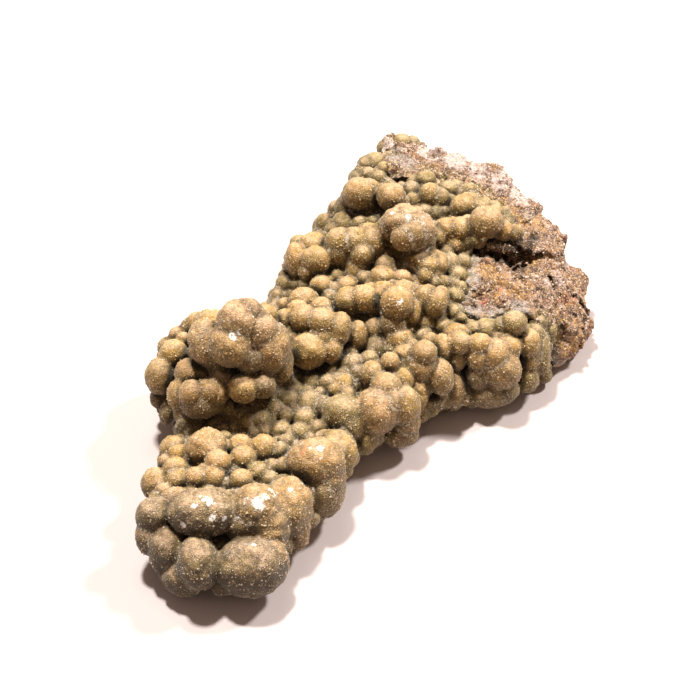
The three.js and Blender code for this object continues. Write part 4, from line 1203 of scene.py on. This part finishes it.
def rock_material():
    m = Nodes("matrix rock")
    shut = m.attr("shut")
    c = m.mix(m.ramp(m.noise(0.35, 4.0), 0.38, 0.62), tuple(linear(128, 94, 70)), tuple(linear(176, 140, 118)))
    c = m.mix(m.ramp(m.noise(1.1, 5.0, 0.75), 0.46, 0.56, 0.0, 0.92), c, tuple(linear(74, 52, 36)))
    c = m.mix(m.ramp(m.noise(1.9, 4.0, 0.8), 0.54, 0.61, 0.0, 0.85), c, tuple(linear(222, 198, 182)))
    c = m.mix(m.ramp(m.noise(1.5, 4.0, 0.8, None, 0.4), 0.53, 0.60, 0.0, 0.85), c, tuple(linear(196, 144, 72)))
    c = m.mix(m.math("MULTIPLY", m.attr("grey"), m.ramp(m.noise(1.3, 4.0, 0.75), 0.38, 0.56)), c, tuple(linear(178, 168, 160)))
    c = m.mix(m.math("MULTIPLY", m.attr("ochre"), m.ramp(m.noise(1.2, 5.0, 0.75), 0.45, 0.58, 0.0, 0.85)), c, tuple(linear(198, 150, 80)))
    c = m.mix(m.math("MULTIPLY", m.attr("rust"), m.ramp(m.noise(1.4, 4.0, 0.7), 0.42, 0.55)), c, tuple(linear(196, 84, 44)))
    # pale patches; along the far rim they are partly a painted highlight
    c = m.mix(m.math("MULTIPLY", m.attr("white"), m.ramp(m.noise(0.7, 5.0, 0.75), 0.34, 0.54, 0.0, 0.92)), c, tuple(linear(222, 200, 190)))
    c = m.mix(m.math("MULTIPLY", m.attr("film"), m.ramp(m.noise(1.2, 4.0), 0.42, 0.56, 0.0, 0.7)), c, tuple(linear(120, 110, 58)))
    c = m.mix(m.math("MULTIPLY", m.attr("dark"), m.ramp(m.noise(1.0, 4.0), 0.3, 0.5, 0.5, 0.9)), c, tuple(linear(62, 42, 26)))
    # small dark pits and yellow and white crumbs all over
    c = m.mix(m.ramp(m.noise(2.7, 4.0, 0.8), 0.56, 0.64, 0.0, 0.85), c, tuple(linear(52, 37, 26)))
    crumb = m.ramp(m.voronoi(2.0), 0.34, 0.14)
    c = m.mix(m.math("MULTIPLY", crumb, m.ramp(m.noise(0.8, 2.0), 0.46, 0.56, 0.0, 0.85)), c, tuple(linear(226, 200, 146)))
    # painted shade: the shut-in hollows and creases of the rock are painted almost black
    c = m.mix(m.ramp(shut, 0.42, 0.88, 0.0, 0.92), c, tuple(linear(24, 16, 10)))
    rough = m.ramp(m.noise(2.0, 3.0), 0.3, 0.7, 0.55, 0.9)
    h = m.math("ADD", m.noise(2.0, 6.0, 0.75), m.math("MULTIPLY", m.ramp(m.voronoi(3.0), 0.5, 0.0), 0.35))
    normal = m.bump(h, 0.0006, 1.0)
    return m.finish(c, rough, normal, 0.4)


crust.data.materials.append(crust_material())
rock.data.materials.append(rock_material())
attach(crust, "root")
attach(rock, "root")
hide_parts("mottramite_crust")
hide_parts("matrix_rock")

open_skin = np.clip(1.25 - C["shut"] * 1.3, 0.05, 1) * (C["v"][:, 2] > 0.4) * (ROCK.sample(C["v"]) > 0.0)
sugar = grains("sugary_grains", C, open_skin, 22000, (0.09, 0.24), 21, (OCTA_V, OCTA_F), C["colour"], 0.30)
sugar.data.materials.append(grain_material("sugary grains", tuple(linear(226, 208, 180)), 0.75, 0.4))
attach(sugar, "root")

ROCK_PALETTE = np.array([linear(*c) for c in ((164, 130, 104), (122, 92, 66), (198, 170, 150), (226, 208, 194), (204, 158, 86), (72, 50, 36), (242, 232, 224))])
_r = np.random.default_rng(77)
rock_tint = ROCK_PALETTE[_r.choice(7, len(K["v"]), p=(0.26, 0.2, 0.18, 0.13, 0.11, 0.08, 0.04))]
# crumbs take the colours of the spots; the pale ones on the far rim also carry its painted highlight
for key, share, c in (("grey", 0.6, (180, 172, 164)), ("ochre", 0.6, (202, 156, 84)), ("rust", 0.8, (196, 86, 44)), ("white", 2.0, (226, 206, 196)), ("dark", 0.8, (62, 44, 30))):
    hit = K[key] * share > _r.random(len(K["v"]))
    rock_tint[hit] = linear(*c)
rock_open = np.clip(1.2 - K["shut"] * 1.2, 0.05, 1) * (K["v"][:, 2] > 0.25) * (CRUST.sample(K["v"]) > 0.05)
crumbs = grains("rock_crumbs", K, rock_open, 16000, (0.07, 0.26), 22, (OCTA_V, OCTA_F), rock_tint, 0.25)
crumbs.data.materials.append(grain_material("rock crumbs", tuple(linear(214, 198, 176)), 0.35, 0.6))
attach(crumbs, "root")

# ---------------------------------------------------------------- stage, light, camera
def floor():
    r, n = 0.24, 96        # ends while it is still white, so that it meets the white room unseen
    mesh = bpy.data.meshes.new("floor")
    mesh.from_pydata([(r * math.cos(2 * math.pi * k / n), r * math.sin(2 * math.pi * k / n), 0) for k in range(n)], [], [tuple(range(n))])
    ob = bpy.data.objects.new("floor", mesh)
    bpy.context.collection.objects.link(ob)
    mat = bpy.data.materials.new("white sweep")
    mat.use_nodes = True
    b = mat.node_tree.nodes["Principled BSDF"]
    b.inputs["Base Color"].default_value = (0.60, 0.53, 0.51, 1)
    b.inputs["Roughness"].default_value = 0.9
    b.inputs["Specular IOR Level"].default_value = 0.1
    mesh.materials.append(mat)
    ob.location.z = -0.00005
    return ob


def area(name, direction, distance, size, power, colour=(1, 1, 1)):
    lamp = bpy.data.lights.new(name, "AREA")
    lamp.shape = "DISK"
    lamp.size = size
    lamp.energy = power
    lamp.color = colour
    ob = bpy.data.objects.new(name, lamp)
    bpy.context.collection.objects.link(ob)
    d = np.array(direction, float)
    d /= np.linalg.norm(d)
    ob.location = tuple(d * distance)
    from mathutils import Vector
    ob.rotation_euler = Vector(tuple(-d)).to_track_quat("-Z", "Y").to_euler()
    return ob


floor()
gx, gy, gz = np.array(GROW_X), np.array(GROW_Y), np.array(GROW_Z)
back = np.array([gz[0], gz[1], 0]) / math.hypot(gz[0], gz[1])      # away from the camera, level
right = np.array([gx[0], gx[1], 0])
up = np.array([0, 0, 1.0])
area("key_back_left", -0.27 * right + 0.50 * back + 1.66 * up, 0.8, 0.09, 10.4, (1.0, 0.965, 0.93))
area("back_right", 0.95 * right + 0.60 * back + 1.20 * up, 0.8, 0.10, 7.4, (1.0, 0.965, 0.94))
area("top", 0.0 * right + 0.45 * back + 1.0 * up, 0.9, 0.24, 1.0)

world = bpy.data.worlds.new("studio")
bpy.context.scene.world = world
world.use_nodes = True
wt = world.node_tree
bg = wt.nodes["Background"]
lp = wt.nodes.new("ShaderNodeLightPath")
tint = wt.nodes.new("ShaderNodeMix")
tint.data_type = "RGBA"
tint.inputs[6].default_value = (0.30, 0.225, 0.185, 1)      # warm light from the room
tint.inputs[7].default_value = (1.0, 0.99, 0.985, 1)
wt.links.new(lp.outputs["Is Camera Ray"], tint.inputs[0])
wt.links.new(tint.outputs[2], bg.inputs[0])
bg.inputs[1].default_value = 1.0

cam_data = bpy.data.cameras.new("camera")
cam = bpy.data.objects.new("camera", cam_data)
bpy.context.collection.objects.link(cam)
cam_data.sensor_width = 36.0
cam_data.sensor_fit = "HORIZONTAL"
cam_data.lens = 18.0 / HALF_WIDTH_OVER_DISTANCE
cam_data.clip_start, cam_data.clip_end = 0.01, 10.0
from mathutils import Matrix
rotm = Matrix(((gx[0], gy[0], -gz[0]), (gx[1], gy[1], -gz[1]), (gx[2], gy[2], -gz[2])))
cam.matrix_world = Matrix.Translation((EYE[0] / 1000, EYE[1] / 1000, EYE[2] / 1000)) @ rotm.to_4x4()
bpy.context.scene.camera = cam
bpy.context.scene.view_settings.view_transform = "Standard"
